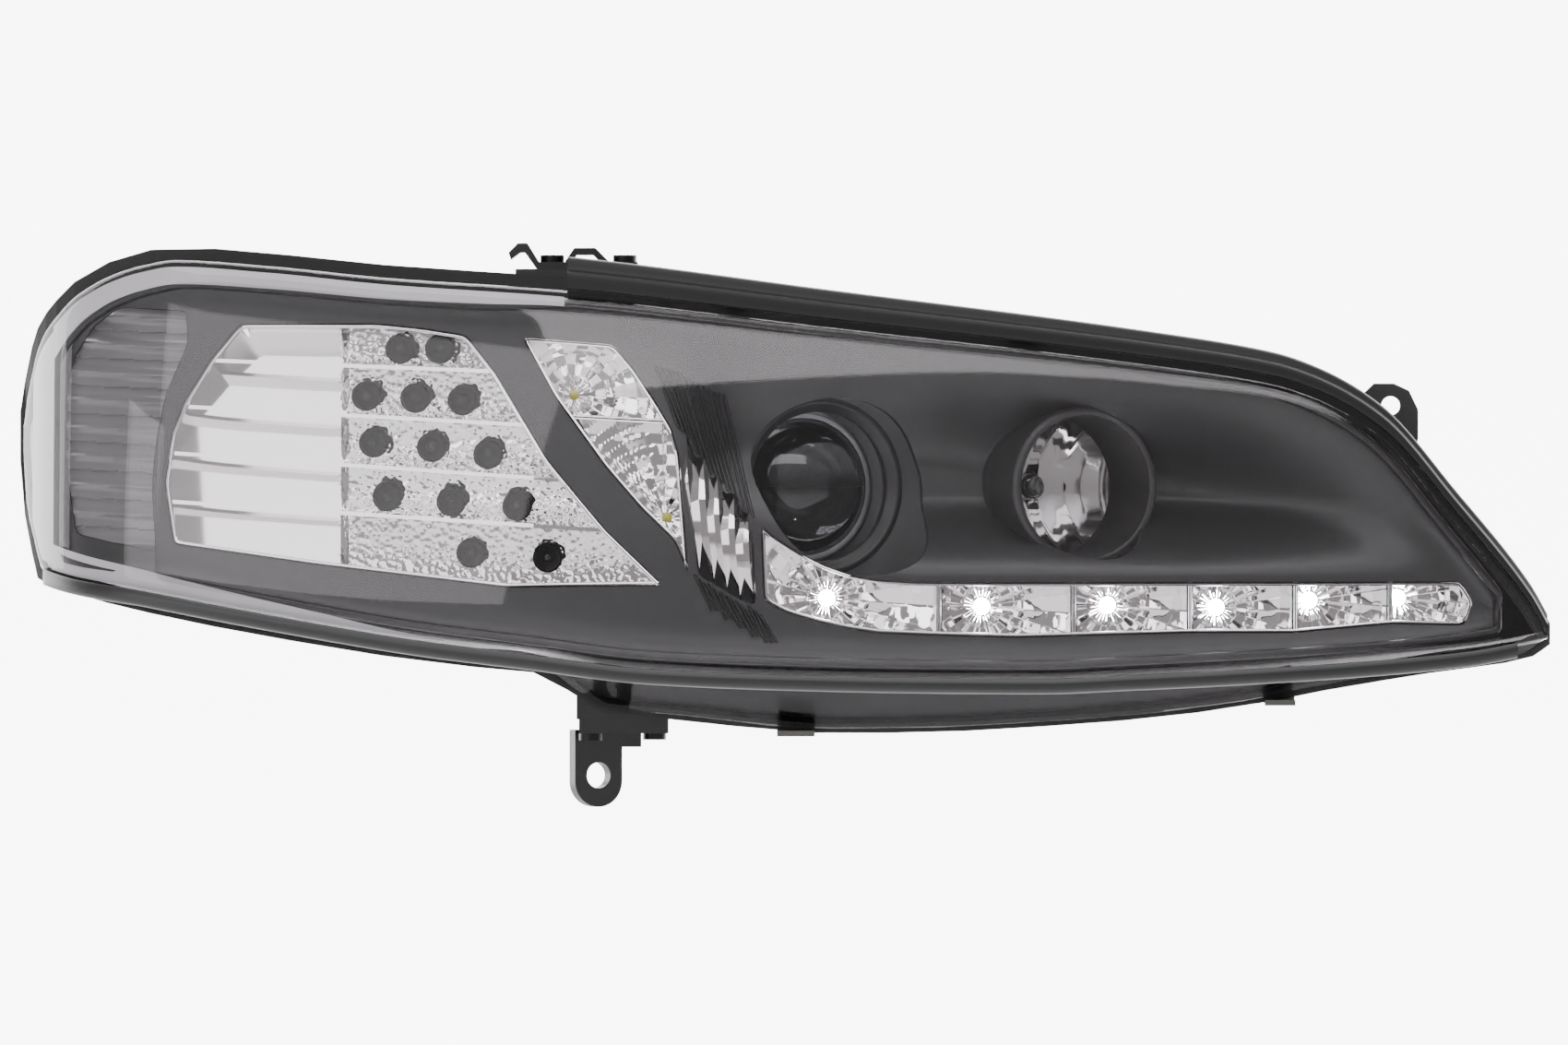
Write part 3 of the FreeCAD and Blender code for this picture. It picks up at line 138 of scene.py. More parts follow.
def wrap(x):
    """Extra depth of the outboard end: it dies away exponentially."""
    return WRAP_DEPTH * np.exp(-np.maximum(x - LENS_LEFT, 0) / WRAP_LENGTH)


def front_y(x, z):
    """Lens face: a parabola in plan, plus the wrap, plus a lean with the height's square."""
    height = np.maximum(z - FACE_BASE, 0) / LENS_HEIGHT
    bow = FRONT_BOW * ((x - BOW_CENTRE) / LENS_LENGTH) ** 2
    return FRONT_FACE + bow + wrap(x) + LEAN_DEPTH * height ** 2


def flange_y(x):
    """Rear edge of the lens: a flatter parabola on the inboard side."""
    side = np.where(x > BOW_CENTRE, FLANGE_BOW_INNER, FLANGE_BOW_OUTER)
    return FLANGE_FACE + side * ((x - BOW_CENTRE) / LENS_LENGTH) ** 2 + wrap(x) / 2


print("lens length", round(LENS_LENGTH, 4), "height", round(LENS_HEIGHT, 4))

# %% [markdown]
# ## From arrays to closed meshes
# Every new surface is a grid of points. A grid can be closed round one way, as a tube is, and
# its ends can be closed with a cap. Two grids a wall apart, joined along their edges, make a
# shell. The helpers below do only that, merge what coincides and turn the normals outwards.

# %% Mesh helpers
def grid_faces(rows, columns, around=False):
    """Quads of a grid; around joins the last column to the first."""
    index = np.arange(rows * columns).reshape(rows, columns)
    if around:
        index = np.hstack([index, index[:, :1]])
    quads = np.stack([index[:-1, :-1], index[:-1, 1:], index[1:, 1:], index[1:, :-1]], axis=-1)
    return quads.reshape(-1, 4)


def closed_grid(rings):
    """Points and quads of a grid whose last column joins its first."""
    rings = np.asarray(rings)
    return rings.reshape(-1, 3), grid_faces(len(rings), rings.shape[1], True)


def tube(rings):
    """Closed tube: rings of points along axis 0, each closed round, with fan caps."""
    rings = np.asarray(rings)
    centres = rings.mean(axis=1, keepdims=True)
    count = rings.shape[1]
    first = np.repeat(centres[:1], count, axis=1)
    last = np.repeat(centres[-1:], count, axis=1)
    return closed_grid(np.concatenate([first, rings, last]))


def shell(front, back):
    """Closed shell between two grids of the same shape: out along one and home on the other."""
    rows = np.concatenate([front, back[:, ::-1]], axis=1)
    parts = [closed_grid(rows)]
    for end in (0, -1):
        strip = np.stack([front[end], back[end]])
        parts.append((strip.reshape(-1, 3), grid_faces(2, strip.shape[1])))
    return merged(parts)


def merged(parts):
    """Several (points, faces) pairs as one."""
    points = []
    faces = []
    start = 0
    for vertices, quads in parts:
        points.append(np.asarray(vertices))
        faces.append(np.asarray(quads) + start)
        start += len(vertices)
    return np.concatenate(points), np.concatenate(faces)


def shade(mesh, crease):
    """Smooth shading, with edges over crease degrees kept sharp."""
    mesh.shade_smooth()
    mesh.set_sharp_from_angle(angle=math.radians(crease))


WELD_DISTANCE = 2e-6
SLIVER = 1e-6


def piece(name, parts, body, material, replaces=(), crease=35):
    """A finished mesh object: doubles merged, normals outwards, edges over crease kept sharp."""
    points, faces = parts if isinstance(parts, tuple) else merged(parts)
    mesh = bpy.data.meshes.new(name)
    mesh.vertices.add(len(points))
    mesh.vertices.foreach_set("co", np.asarray(points, np.float32).ravel())
    mesh.loops.add(faces.size)
    mesh.loops.foreach_set("vertex_index", np.asarray(faces, np.int32).ravel())
    mesh.polygons.add(len(faces))
    starts = np.arange(0, faces.size, faces.shape[1], dtype=np.int32)
    mesh.polygons.foreach_set("loop_start", starts)
    mesh.update(calc_edges=True)
    mesh.validate()
    work = bmesh.new()
    work.from_mesh(mesh)
    bmesh.ops.remove_doubles(work, verts=work.verts, dist=WELD_DISTANCE)
    bmesh.ops.dissolve_degenerate(work, edges=work.edges, dist=SLIVER)
    bmesh.ops.recalc_face_normals(work, faces=work.faces)
    work.to_mesh(mesh)
    work.free()
    shade(mesh, crease)
    mesh.materials.append(material)
    item = bpy.data.objects.new(name, mesh)
    bpy.context.collection.objects.link(item)
    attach(item, body)
    if replaces:
        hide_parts(*replaces)
    print(name, len(mesh.vertices), "points")
    return item


def smooth_along(points, passes):
    """Rounds a grid's corners along its columns: each pass averages a point with its neighbours."""
    points = points.copy()
    for _ in range(passes):
        points[:, 1:-1] = (points[:, :-2] + 2 * points[:, 1:-1] + points[:, 2:]) / 4
    return points


def calmed(loop, passes):
    """A closed path with its corners rounded: each pass averages a point with its neighbours."""
    for _ in range(passes):
        loop = (np.roll(loop, 1, axis=0) + 2 * loop + np.roll(loop, -1, axis=0)) / 4
    return loop


def even_loop(corners, places, passes):
    """A closed path through flat corners, cut at places(its length), with its corners rounded."""
    ring = np.concatenate([corners, corners[:1]])
    along = np.concatenate([[0], np.cumsum(np.linalg.norm(np.diff(ring, axis=0), axis=1))])
    target = places(along[-1])
    loop = np.stack([np.interp(target, along, ring[:, axis]) for axis in range(2)], axis=1)
    return calmed(loop, passes)


def resample(points, count):
    """The same path cut into equal steps, for every row of a grid."""
    steps = np.linalg.norm(np.diff(points, axis=1), axis=2)
    place = np.concatenate([np.zeros((len(points), 1)), np.cumsum(steps, axis=1)], axis=1)
    place /= place[:, -1:]
    target = np.linspace(0, 1, count)
    rows = []
    for row, where in zip(points, place):
        rows.append(np.stack([np.interp(target, where, row[:, axis]) for axis in range(3)], axis=1))
    return np.array(rows)


def grid_normals(points):
    """Unit normal at each point of a grid: the cross product of its two directions."""
    along = np.gradient(points, axis=0)
    across = np.gradient(points, axis=1)
    normal = np.cross(along, across)
    return normal / np.maximum(np.linalg.norm(normal, axis=2, keepdims=True), 1e-12)


# %% [markdown]
# ## Materials
# Each material starts from what the real one is. Colours are the sRGB values that a maker
# would match by eye, turned to linear by one function. Fine textures are sized in millimetres.

# %% Material helpers
def linear(code):
    """sRGB hex colour as linear RGBA."""
    values = [int(code[index:index + 2], 16) / 255 for index in (1, 3, 5)]
    return [v / 12.92 if v <= 0.04045 else ((v + 0.055) / 1.055) ** 2.4 for v in values] + [1]


def add(tree, kind, settings=None, links=None):
    """One node with its settings (sockets by name, properties by name) and its input links."""
    node = tree.nodes.new(kind)
    for name, value in (settings or {}).items():
        if name in node.inputs:
            node.inputs[name].default_value = value
        else:
            setattr(node, name, value)
    for name, socket in (links or {}).items():
        tree.links.new(socket, node.inputs[name])
    return node


def new_material(name):
    """An empty node material with its output and Object coordinates."""
    material = bpy.data.materials.new(name)
    material.use_nodes = True
    tree = material.node_tree
    tree.nodes.clear()
    output = tree.nodes.new("ShaderNodeOutputMaterial")
    place = add(tree, "ShaderNodeTexCoord").outputs["Object"]
    return material, tree, output, place


def surface(name, settings, dark="", light="", pattern_mm=1.0, bump=0.0, rough=None, detail=3.0):
    """Principled surface with a cloudy colour from dark to light and a bump of pattern_mm."""
    material, tree, output, place = new_material(name)
    shader = add(tree, "ShaderNodeBsdfPrincipled", settings)
    grain = add(tree, "ShaderNodeTexNoise", {"Scale": 1 / (pattern_mm * MM), "Detail": detail},
                {"Vector": place})
    if dark:
        cloud = add(tree, "ShaderNodeTexNoise", {"Scale": 1 / (25 * MM), "Detail": 2.0},
                    {"Vector": place})
        mix = add(tree, "ShaderNodeMix", {"data_type": "RGBA"}, {"Factor": cloud.outputs["Fac"]})
        mix.inputs[6].default_value = linear(dark)
        mix.inputs[7].default_value = linear(light)
        tree.links.new(mix.outputs[2], shader.inputs["Base Color"])
    if rough:
        span = add(tree, "ShaderNodeMapRange", {"To Min": rough[0], "To Max": rough[1]},
                   {"Value": grain.outputs["Fac"]})
        tree.links.new(span.outputs["Result"], shader.inputs["Roughness"])
    if bump:
        relief = add(tree, "ShaderNodeBump", {"Strength": bump, "Distance": 0.1 * MM},
                     {"Height": grain.outputs["Fac"]})
        tree.links.new(relief.outputs["Normal"], shader.inputs["Normal"])
    tree.links.new(shader.outputs[0], output.inputs["Surface"])
    return material


# %% [markdown]
# ### Clear polycarbonate
# A headlight lens is moulded polycarbonate with a hard coat. From the front it is nearly
# invisible, and towards its edges it mirrors the room, as Fresnel's law says. A thin wall
# doesn't bend what is behind it, so a Transparent shader and a glossy one share the surface.

# %% Clear shells
def clear_plastic(name, tint, veil, shine):
    """Thin clear wall: mostly Transparent, with a mirror share that grows at grazing angles."""
    material, tree, output, _ = new_material(name)
    facing = add(tree, "ShaderNodeLayerWeight", {"Blend": 0.5}).outputs["Facing"]
    rise = add(tree, "ShaderNodeMath", {"operation": "POWER"})
    tree.links.new(facing, rise.inputs[0])
    rise.inputs[1].default_value = 5.0
    share = add(tree, "ShaderNodeMath", {"operation": "MULTIPLY_ADD"})
    tree.links.new(rise.outputs[0], share.inputs[0])
    share.inputs[1].default_value = shine
    share.inputs[2].default_value = veil
    see = add(tree, "ShaderNodeBsdfTransparent", {"Color": linear(tint)})
    gloss = add(tree, "ShaderNodeBsdfGlossy", {"Color": linear("#f4f1f3"), "Roughness": 0.03})
    mix = add(tree, "ShaderNodeMixShader", None,
              {0: share.outputs[0], 1: see.outputs[0], 2: gloss.outputs[0]})
    tree.links.new(mix.outputs[0], output.inputs["Surface"])
    return material


polycarbonate = clear_plastic("Clear hard-coated polycarbonate", "#f5f4f5", 0.022, 0.4)
skirt_plastic = clear_plastic("Grained clear polycarbonate", "#e9e8ea", 0.012, 0.03)
epoxy = clear_plastic("Clear LED epoxy", "#c9c8c4", 0.06, 0.8)

# %% [markdown]
# ### Black mouldings
# The housing is polypropylene with a spark-eroded grain of about 0.8 mm. The seal is
# extruded EPDM rubber, duller than the satin ABS of the lip strip and the brackets.

# %% Black plastics and rubber
polypropylene = surface("Black moulded polypropylene", {"Roughness": 0.6, "IOR": 1.49},
                        "#141416", "#1d1d20", 0.8, 0.35, (0.52, 0.68))
rubber = surface("Black EPDM rubber", {"Roughness": 0.6, "IOR": 1.5, "Specular IOR Level": 0.3},
                 "#050505", "#090909", 0.5, 0.12, (0.5, 0.62))
satin_abs = surface("Black satin ABS", {"Roughness": 0.4, "IOR": 1.52}, "#0b0b0c", "#111113", 0.4,
                    0.12, (0.34, 0.46))
bezel_abs = surface("Dark grey satin ABS", {"Roughness": 0.42, "IOR": 1.53}, "#242425", "#282829",
                    0.25)
smoked = surface("Smoked grey acrylic", {"Roughness": 0.25, "IOR": 1.49, "Coat Weight": 0.5},
                 "#666567", "#727173", 0.6, 0.05, (0.26, 0.36))
sealant = surface("Black butyl sealant", {"Roughness": 0.7}, "#0a0a0a", "#101010", 1.5, 0.5)


# %% [markdown]
# ### Vacuum-metallised chrome
# Reflectors are plastic with an evaporated aluminium film. It mirrors well but ripples a
# little, and where light has to be spread the mould is pebbled.

# %% Metals
def metal(name, color, rough, pattern_mm, bump):
    """A metal with a fine ripple; roughness drifts a little over the part."""
    return surface(name, {"Metallic": 1.0, "Base Color": linear(color), "Roughness": rough},
                   "", "", pattern_mm, bump, (max(rough - 0.03, 0.02), rough + 0.05))


chrome = metal("Evaporated aluminium film", "#f1efef", 0.05, 14.0, 0.15)
spring_steel = metal("Dark spring steel", "#6d6c68", 0.3, 2.0, 0.1)
frosted = surface("Frosted polycarbonate", {"Roughness": 0.5, "IOR": 1.58}, "#a19ea3", "#aeabb0",
                  2.0)
zinc = metal("Zinc-plated steel", "#b9bab6", 0.32, 1.2, 0.15)
black_zinc = metal("Black zinc plating", "#2b2b2d", 0.4, 1.2, 0.1)
die_cast = metal("Die-cast aluminium", "#8f9092", 0.42, 0.9, 0.5)


# %% [markdown]
# ### Glass, light and small parts
# The projector lens is thick ground glass, so it gets real transmission. A running LED is an
# emitter; an LED that is off shows its yellow phosphor.

# %% Glass, LEDs and nylon
def solid_glass(name, tint, rough):
    """Thick glass: full transmission through a Principled shader."""
    material, tree, output, _ = new_material(name)
    shader = add(tree, "ShaderNodeBsdfPrincipled",
                 {"Base Color": linear(tint), "Roughness": rough, "IOR": 1.52,
                  "Transmission Weight": 1.0})
    tree.links.new(shader.outputs[0], output.inputs["Surface"])
    return material


def glowing(name, color, strength):
    """An LED that is on: white emission over a pale phosphor."""
    material, tree, output, _ = new_material(name)
    shader = add(tree, "ShaderNodeBsdfPrincipled",
                 {"Base Color": linear("#fdfdfa"), "Roughness": 0.3,
                  "Emission Color": linear(color), "Emission Strength": strength})
    tree.links.new(shader.outputs[0], output.inputs["Surface"])
    return material


optic_glass = solid_glass("Ground optical glass", "#eef3f8", 0.0)
quartz = solid_glass("Quartz bulb glass", "#f6f7f8", 0.02)
led_on = glowing("LED chip, lit", "#f3f8ff", 60.0)
phosphor = surface("Yellow LED phosphor", {"Roughness": 0.35}, "#b9b54a", "#cfca66", 0.3, 0.1)
solder_mask = surface("Dark green solder mask", {"Roughness": 0.35}, "#0d2b1e", "#123424", 0.6,
                      0.1)
nylon = surface("Natural nylon", {"Roughness": 0.45, "Subsurface Weight": 0.1}, "#cfcabc",
                "#d8d4c8", 0.7, 0.2)
moulded_black = surface("Black glass-filled nylon", {"Roughness": 0.5}, "#151517", "#1c1c1f",
                        0.5, 0.3, (0.42, 0.58))
dark_inside = surface("Matt black paint", {"Roughness": 0.8, "Specular IOR Level": 0.08}, "#030303",
                      "#060606", 0.5, 0.1)

# %% [markdown]
# ## The lens
# The lens is one moulding: a top wall, the big face, a knuckle along its lower edge, and a
# skirt that runs back under the lamp. Each cross-section is that path, cut into equal steps and
# averaged until its corners are round, and the inside is the outside moved in by the wall.

# %% Front lens
STATION_COUNT = 190
SECTION_COUNT = 120


def spread(start, end, count):
    """Shares from start to end, closer together near both ends."""
    t = (1 - np.cos(np.linspace(0, np.pi, count))) / 2
    return start + (end - start) * (0.45 * np.linspace(0, 1, count) + 0.55 * t)


def lens_path(share, step_count=24):
    """Cross-sections of the lens's outside: top wall, face, knuckle, skirt."""
    x = x_at(share)[:, None]
    top = z_at(top_edge(share))[:, None]
    knuckle = z_at(knuckle_line(share))[:, None]
    bottom = z_at(bottom_edge(share))[:, None]
    t = np.linspace(0, 1, step_count)[None, :]
    face_z = top + (knuckle - top) * t
    face = np.stack([x + 0 * t, front_y(x, face_z), face_z], axis=2)
    back = flange_y(x)
    start = np.stack([x, back, top], axis=2)
    end = np.stack([x, back, bottom], axis=2)
    return np.concatenate([start, face, end], axis=1)


lens_shares = spread(0, 100, STATION_COUNT)
outside = smooth_along(resample(lens_path(lens_shares), SECTION_COUNT), 10)
normals = grid_normals(outside)
if normals[STATION_COUNT // 2, SECTION_COUNT // 2, 1] > 0:
    normals = -normals
inside = outside - LENS_WALL * normals
inside[:, 0, 1] = outside[:, 0, 1]
inside[:, -1, 1] = outside[:, -1, 1]
lens = piece("lens_clear_cover", shell(outside, inside), "lamp", polycarbonate,
             ["front_lens"], crease=50)

# %% [markdown]
# The skirt is grained, so it doesn't mirror the floor. Its last few millimetres are polished.

# %% Grained skirt
POLISHED = 5 * MM
lens.data.materials.append(skirt_plastic)
centres = np.zeros(len(lens.data.polygons) * 3, np.float32)
lens.data.polygons.foreach_get("center", centres)
centres = centres.reshape(-1, 3)
below = centres[:, 2] < z_at(knuckle_line(share_at(centres[:, 0]))) - 1.5 * MM
below &= centres[:, 1] < flange_y(centres[:, 0]) - POLISHED
lens.data.polygons.foreach_set("material_index", below.astype(np.int32))
print("grained faces", int(below.sum()))

# %% [markdown]
# Round the outboard half the lens keeps a frosted edge about a centimetre wide. It is a thin band
# straight behind the face: one along the top, one up the end and one along the knuckle.

# %% Frosted edge of the lens
FROST_GAP = 3.4 * MM
FROST_WALL = 0.8 * MM
END_BAND = 2.2


def face_band(shares, high, low):
    """Shell just behind the face between two heights that follow the shares."""
    t = np.linspace(0, 1, 24)[None, :]
    x = x_at(shares)[:, None] + 0 * t
    z = high[:, None] + (low - high)[:, None] * t
    front = np.stack([x, front_y(x, z) + FROST_GAP, z], axis=2)
    return shell(front, front + np.array([0, FROST_WALL, 0]))


top_width = curve([(2, 18), (3.5, 14), (6, 11.5), (10, 10.5), (30, 8.5), (36, 7), (100, 7)])
low_width = curve([(2, 11), (10, 7), (20, 3.5), (28, 0.6), (100, 0.6)])
top_shares = np.linspace(END_BAND - 0.1, 35.8, 90)
low_shares = np.linspace(END_BAND - 0.1, 28, 70)
end_shares = np.linspace(0.7, END_BAND, 16)
top_line = z_at(top_edge(top_shares)) - 3 * MM
low_line_z = z_at(knuckle_line(low_shares)) + 1.5 * MM
frost = [face_band(top_shares, top_line, top_line + 3 * MM - top_width(top_shares) * MM),
         face_band(low_shares, low_line_z + low_width(low_shares) * MM, low_line_z),
         face_band(end_shares, z_at(top_edge(end_shares)) - 5 * MM,
                   z_at(knuckle_line(end_shares)) + 4 * MM)]
piece("lens_frosted_edge", frost, "lamp", frosted)

# %% [markdown]
# ## Seal and lip
# The rubber seal lies on the lens's top edge from a square cut near the middle to the inboard
# tip. Its profile has a lip, a groove and a raised back. The lip strip hooks over the knuckle.
# Both are one profile carried along a styling curve.

# %% Strips that follow the lamp
def carried(shares, profile, anchor):
    """Profile (rows of depth, height) carried along the anchor points of the shares."""
    x, y, z = anchor(shares)
    depth = profile[..., 0]
    height = profile[..., 1]
    return np.stack([x[:, None] + 0 * depth, y[:, None] + depth, z[:, None] + height], axis=2)


def rounded(points, count, passes):
    """A closed profile cut into equal steps with its corners rounded."""
    return even_loop(np.array(points, float) * MM,
                     lambda total: np.linspace(0, total, count, endpoint=False), passes)


SEAL_START = 36
SEAL_PROFILE = [(-2, 0), (-2.4, 3), (-2.2, 7), (0.4, 8.2), (1.2, 8.0), (2.0, 9.8), (3.0, 13.2),
                (6, 14), (16.6, 14), (17, 10), (17, 0.4), (8, 0)]
seal_shares = spread(SEAL_START, 100, 150)
seal_profile = rounded(SEAL_PROFILE, 72, 3)
taper = 1 - 0.35 * (seal_shares - SEAL_START) / (100 - SEAL_START)
seal_rows = seal_profile[None] * np.stack([np.ones_like(taper), taper], axis=1)[:, None]


def seal_anchor(shares):
    """The lens's top edge, a hair above it."""
    x = x_at(shares)
    z = z_at(top_edge(shares)) + 0.25 * MM
    return x, front_y(x, z), z


piece("top_rubber_seal", tube(carried(seal_shares, seal_rows, seal_anchor)), "lamp",
      rubber, ["top_seal_strip"], crease=40)

LIP_PROFILE = [(-2.4, 0.4), (-0.3, 0.3), (-0.3, -0.5), (5, -1.4), (5, -6.2), (2, -6.4),
               (-1.6, -6.3), (-3.2, -5.2), (-3.4, -2)]
lip_shares = spread(1.5, 98, 170)
lip_profile = rounded(LIP_PROFILE, 48, 2)


def lip_anchor(shares):
    """The knuckle along the lower edge of the lens face."""
    x = x_at(shares)
    z = z_at(knuckle_line(shares))
    return x, front_y(x, z), z


lip_rows = np.repeat(lip_profile[None], len(lip_shares), axis=0)
piece("lower_lip_trim", tube(carried(lip_shares, lip_rows, lip_anchor)), "lamp",
      satin_abs, ["lower_lip_strip"], crease=45)

# %% [markdown]
# Behind the lens's skirt lies a black liner. It is what makes the clear skirt look black, with a
# bright line only along its edges.

# %% Liner inside the skirt
LINER_GAP = 4.5 * MM
LINER_WALL = 1.5 * MM
liner_shares = spread(16, 97, 150)[:, None]
liner_step = np.linspace(0.1, 0.96, 26)[None, :]
liner_x = x_at(liner_shares) + 0 * liner_step
liner_knuckle = z_at(knuckle_line(liner_shares))
liner_front = front_y(liner_x, liner_knuckle)
liner_y = liner_front + (flange_y(liner_x) - liner_front) * liner_step
liner_z = liner_knuckle + (z_at(bottom_edge(liner_shares)) - liner_knuckle) * liner_step + LINER_GAP
liner = np.stack([liner_x, liner_y, liner_z], axis=2)
piece("skirt_liner", shell(liner, liner + np.array([0, 0, LINER_WALL])), "lamp",
      dark_inside)

# %% [markdown]
# ## Outlines, cutters and fields
# The bezel's windows and the reflectors in them share outlines, so each outline is drawn once,
# with its corners softened. A field is a sheet whose depth behind the lens is a function of
# place; it is cut to its outline by a Boolean, as a mould would shut it off.

# %% Outline and field helpers
CUT_ENDS = (-0.3, 0.3)


def loop_normals(loop):
    """Unit normals of a closed outline: its direction turned by 90 degrees, out of its area."""
    along = np.roll(loop, -1, axis=0) - np.roll(loop, 1, axis=0)
    out = np.stack([along[:, 1], -along[:, 0]], axis=1)
    out /= np.linalg.norm(out, axis=1, keepdims=True)
    area = np.sum(loop[:, 0] * np.roll(loop[:, 1], -1) - loop[:, 1] * np.roll(loop[:, 0], -1))
    return out * np.sign(area)


def outline_loop(points, shrink=0.0, step=1.2 * MM, passes=5):
    """X and Z of an outline in equal steps, corners softened, moved inwards by shrink."""
    share = np.array(points, float)
    corners = np.stack([x_at(share[:, 0]), z_at(share[:, 1])], axis=1)
    loop = even_loop(corners, lambda total: np.linspace(0, total, int(total / step),
                                                        endpoint=False), passes)
    if shrink:
        loop = loop - loop_normals(loop) * shrink
    return loop


def round_ring(x, y, z, radius, count):
    """Circle that faces forward round a point."""
    angle = np.linspace(0, 2 * math.pi, count, endpoint=False)
    return np.stack([x + radius * np.cos(angle), y + 0 * angle, z + radius * np.sin(angle)],
                    axis=1)


def solid_tool(rings):
    """Unseen closed solid for cutting, from rings of points."""
    rings = np.asarray(rings)
    count = rings.shape[1]
    faces = grid_faces(len(rings), count, True).tolist()
    faces.append(list(range(count))[::-1])
    faces.append(list(range((len(rings) - 1) * count, len(rings) * count)))
    mesh = bpy.data.meshes.new("tool")
    mesh.from_pydata(rings.reshape(-1, 3).tolist(), [], faces)
    work = bmesh.new()
    work.from_mesh(mesh)
    bmesh.ops.recalc_face_normals(work, faces=work.faces)
    work.to_mesh(mesh)
    work.free()
    item = bpy.data.objects.new("tool", mesh)
    bpy.context.collection.objects.link(item)
    return item


def prism_tool(loop):
    """Cutter through the whole depth of the lamp."""
    ends = []
    for depth in CUT_ENDS:
        ends.append(np.stack([loop[:, 0], np.full(len(loop), depth), loop[:, 1]], axis=1))
    return solid_tool(ends)


REARWARD = np.array([-math.sin(TOE), math.cos(TOE), 0.0])
SIDEWARD = np.array([math.cos(TOE), math.sin(TOE), 0.0])
UPWARD = np.array([0.0, 0.0, 1.0])


def beam_ring(point, radius, distance, count=96):
    """Circle round a beam line, a distance behind its point."""
    angle = np.linspace(0, 2 * math.pi, count, endpoint=False)[:, None]
    centre = np.asarray(point) + REARWARD * distance
    return centre + radius * (np.cos(angle) * SIDEWARD + np.sin(angle) * UPWARD)


def carve(item, tools, operation="DIFFERENCE", crease=35):
    """Boolean with each tool in turn; the result becomes the piece's mesh."""
    for tool in tools:
        step = item.modifiers.new("cut", "BOOLEAN")
        step.operation = operation
        step.solver = "EXACT"
        step.object = tool
        bpy.context.view_layer.update()
        graph = bpy.context.evaluated_depsgraph_get()
        mesh = bpy.data.meshes.new_from_object(item.evaluated_get(graph))
        item.modifiers.clear()
        item.data = mesh
        bpy.data.objects.remove(tool)
    shade(item.data, crease)
    print(item.name, "cut to", len(item.data.polygons), "faces")


def field(low, high, step, depth_at, wall):
    """Sheet over a rectangle of X and Z whose front lies depth_at(x, z) behind the lens."""
    x = np.arange(low[0], high[0] + step, step)
    z = np.arange(low[1], high[1] + step, step)
    x, z = np.meshgrid(x, z, indexing="ij")
    front = np.stack([x, front_y(x, z) + depth_at(x, z), z], axis=2)
    return shell(front, front + np.array([0, wall, 0]))


def ring_wall(loop, start, end, wall, rows=6):
    """Wall round an outline between two depths behind the lens, rounded on its front edge."""
    out = loop_normals(loop)
    half = wall / 2
    profile = [(-wall, end)]
    for a in np.linspace(math.pi, 0, rows):
        profile.append((-half + half * math.cos(a), start + half - half * math.sin(a)))
    profile.append((0, end))
    rings = []
    for across, depth in profile:
        spot = loop + out * across
        y = front_y(spot[:, 0], spot[:, 1]) + depth
        rings.append(np.stack([spot[:, 0], y, spot[:, 1]], axis=1))
    return closed_grid(rings + rings[:1])


TURN_OUTLINE = [(14.5, 84.8), (23.7, 84.8), (26.5, 83.7), (29.4, 82), (31.3, 73), (34.7, 52.2),
                (36.7, 43.3), (38.5, 35.4), (42.3, 22), (32, 21.5), (19.4, 27), (10.2, 31.8),
                (9.6, 46), (10, 57.9), (10.9, 66.3), (12.6, 76.4)]
PANEL_OUTLINE = [(6.5, 88.9), (11, 88), (11.1, 79.8), (9.7, 68), (9.1, 57.3), (8.8, 46),
                 (9.1, 29.8), (3.7, 34.3), (2.5, 61.8), (3.5, 77), (4.8, 84.3)]
DRL_UPPER_OUTLINE = [(33, 81.5), (39, 79.8), (40.4, 73.6), (41.8, 65.7), (42.8, 59.6),
                     (43.3, 53.4), (43.9, 24.7), (43, 32.6), (40.8, 40.4), (38.4, 50.6),
                     (35.1, 67.4)]
COMB_OUTLINE = [(43.7, 59.6), (44.4, 52), (44.9, 53.4), (45.4, 47), (45.8, 48.9), (46.3, 43.5),
                (46.9, 44.9), (47.4, 39), (47.8, 40.4), (48.1, 36), (48.3, 17.2), (47.3, 18.5),
                (46.4, 20.6), (45.5, 22.5), (44.5, 24.7), (44.2, 40)]
DRL_LOWER_OUTLINE = [(48.6, 36.5), (49.5, 33.7), (51.2, 29.8), (52.7, 27), (54.5, 24.7),
                     (56.2, 23.6), (58.9, 23), (65.2, 22.9), (94.3, 23), (95.2, 18),
                     (94.6, 12.4), (89.7, 12.8), (83.5, 10.7), (76.6, 10.7), (65.2, 9.6),
                     (60.2, 10.1), (56.2, 10.7), (54.2, 11.8), (52.2, 13.5), (50.2, 15.7),
                     (48.8, 18.5)]
LOW_FRONT = np.array([98, -54, 123]) * MM
HIGH_FRONT = np.array([204, -57, 123]) * MM
SHROUD_RADIUS = 38 * MM
TUNNEL_OPENING = 30 * MM

# %% [markdown]
# ## Bezel
# The bezel is one dark moulding a few millimetres behind the lens. On the outboard side it
# follows the lens. Round the two beams it sinks into a deep soft-edged well, whose floor rises
# to a ledge above the light strip. Windows are cut for every reflector.

# %% Bezel surface
BEZEL_MARGIN = 6 * MM
BEZEL_WALL = 2.2 * MM
BEZEL_FLAT = 12.5 * MM
BEZEL_EDGE = 5.5 * MM
EDGE_ROLL = 5 * MM
WELL_SLOPE = 52 * MM
LEDGE_SLOPE = 34 * MM
well_depth = curve([(0, 13), (30, 13), (43, 13.5), (48, 30), (54, 44), (58, 47), (66, 48),
                    (72, 54), (76, 55), (84, 42), (92, 23), (100, 13)])
ledge_line = curve([(0, 30), (40, 30), (48.6, 37.5), (51.2, 31), (54.5, 26), (58.9, 24.3),
                    (94.3, 24.3), (100, 24.3)])


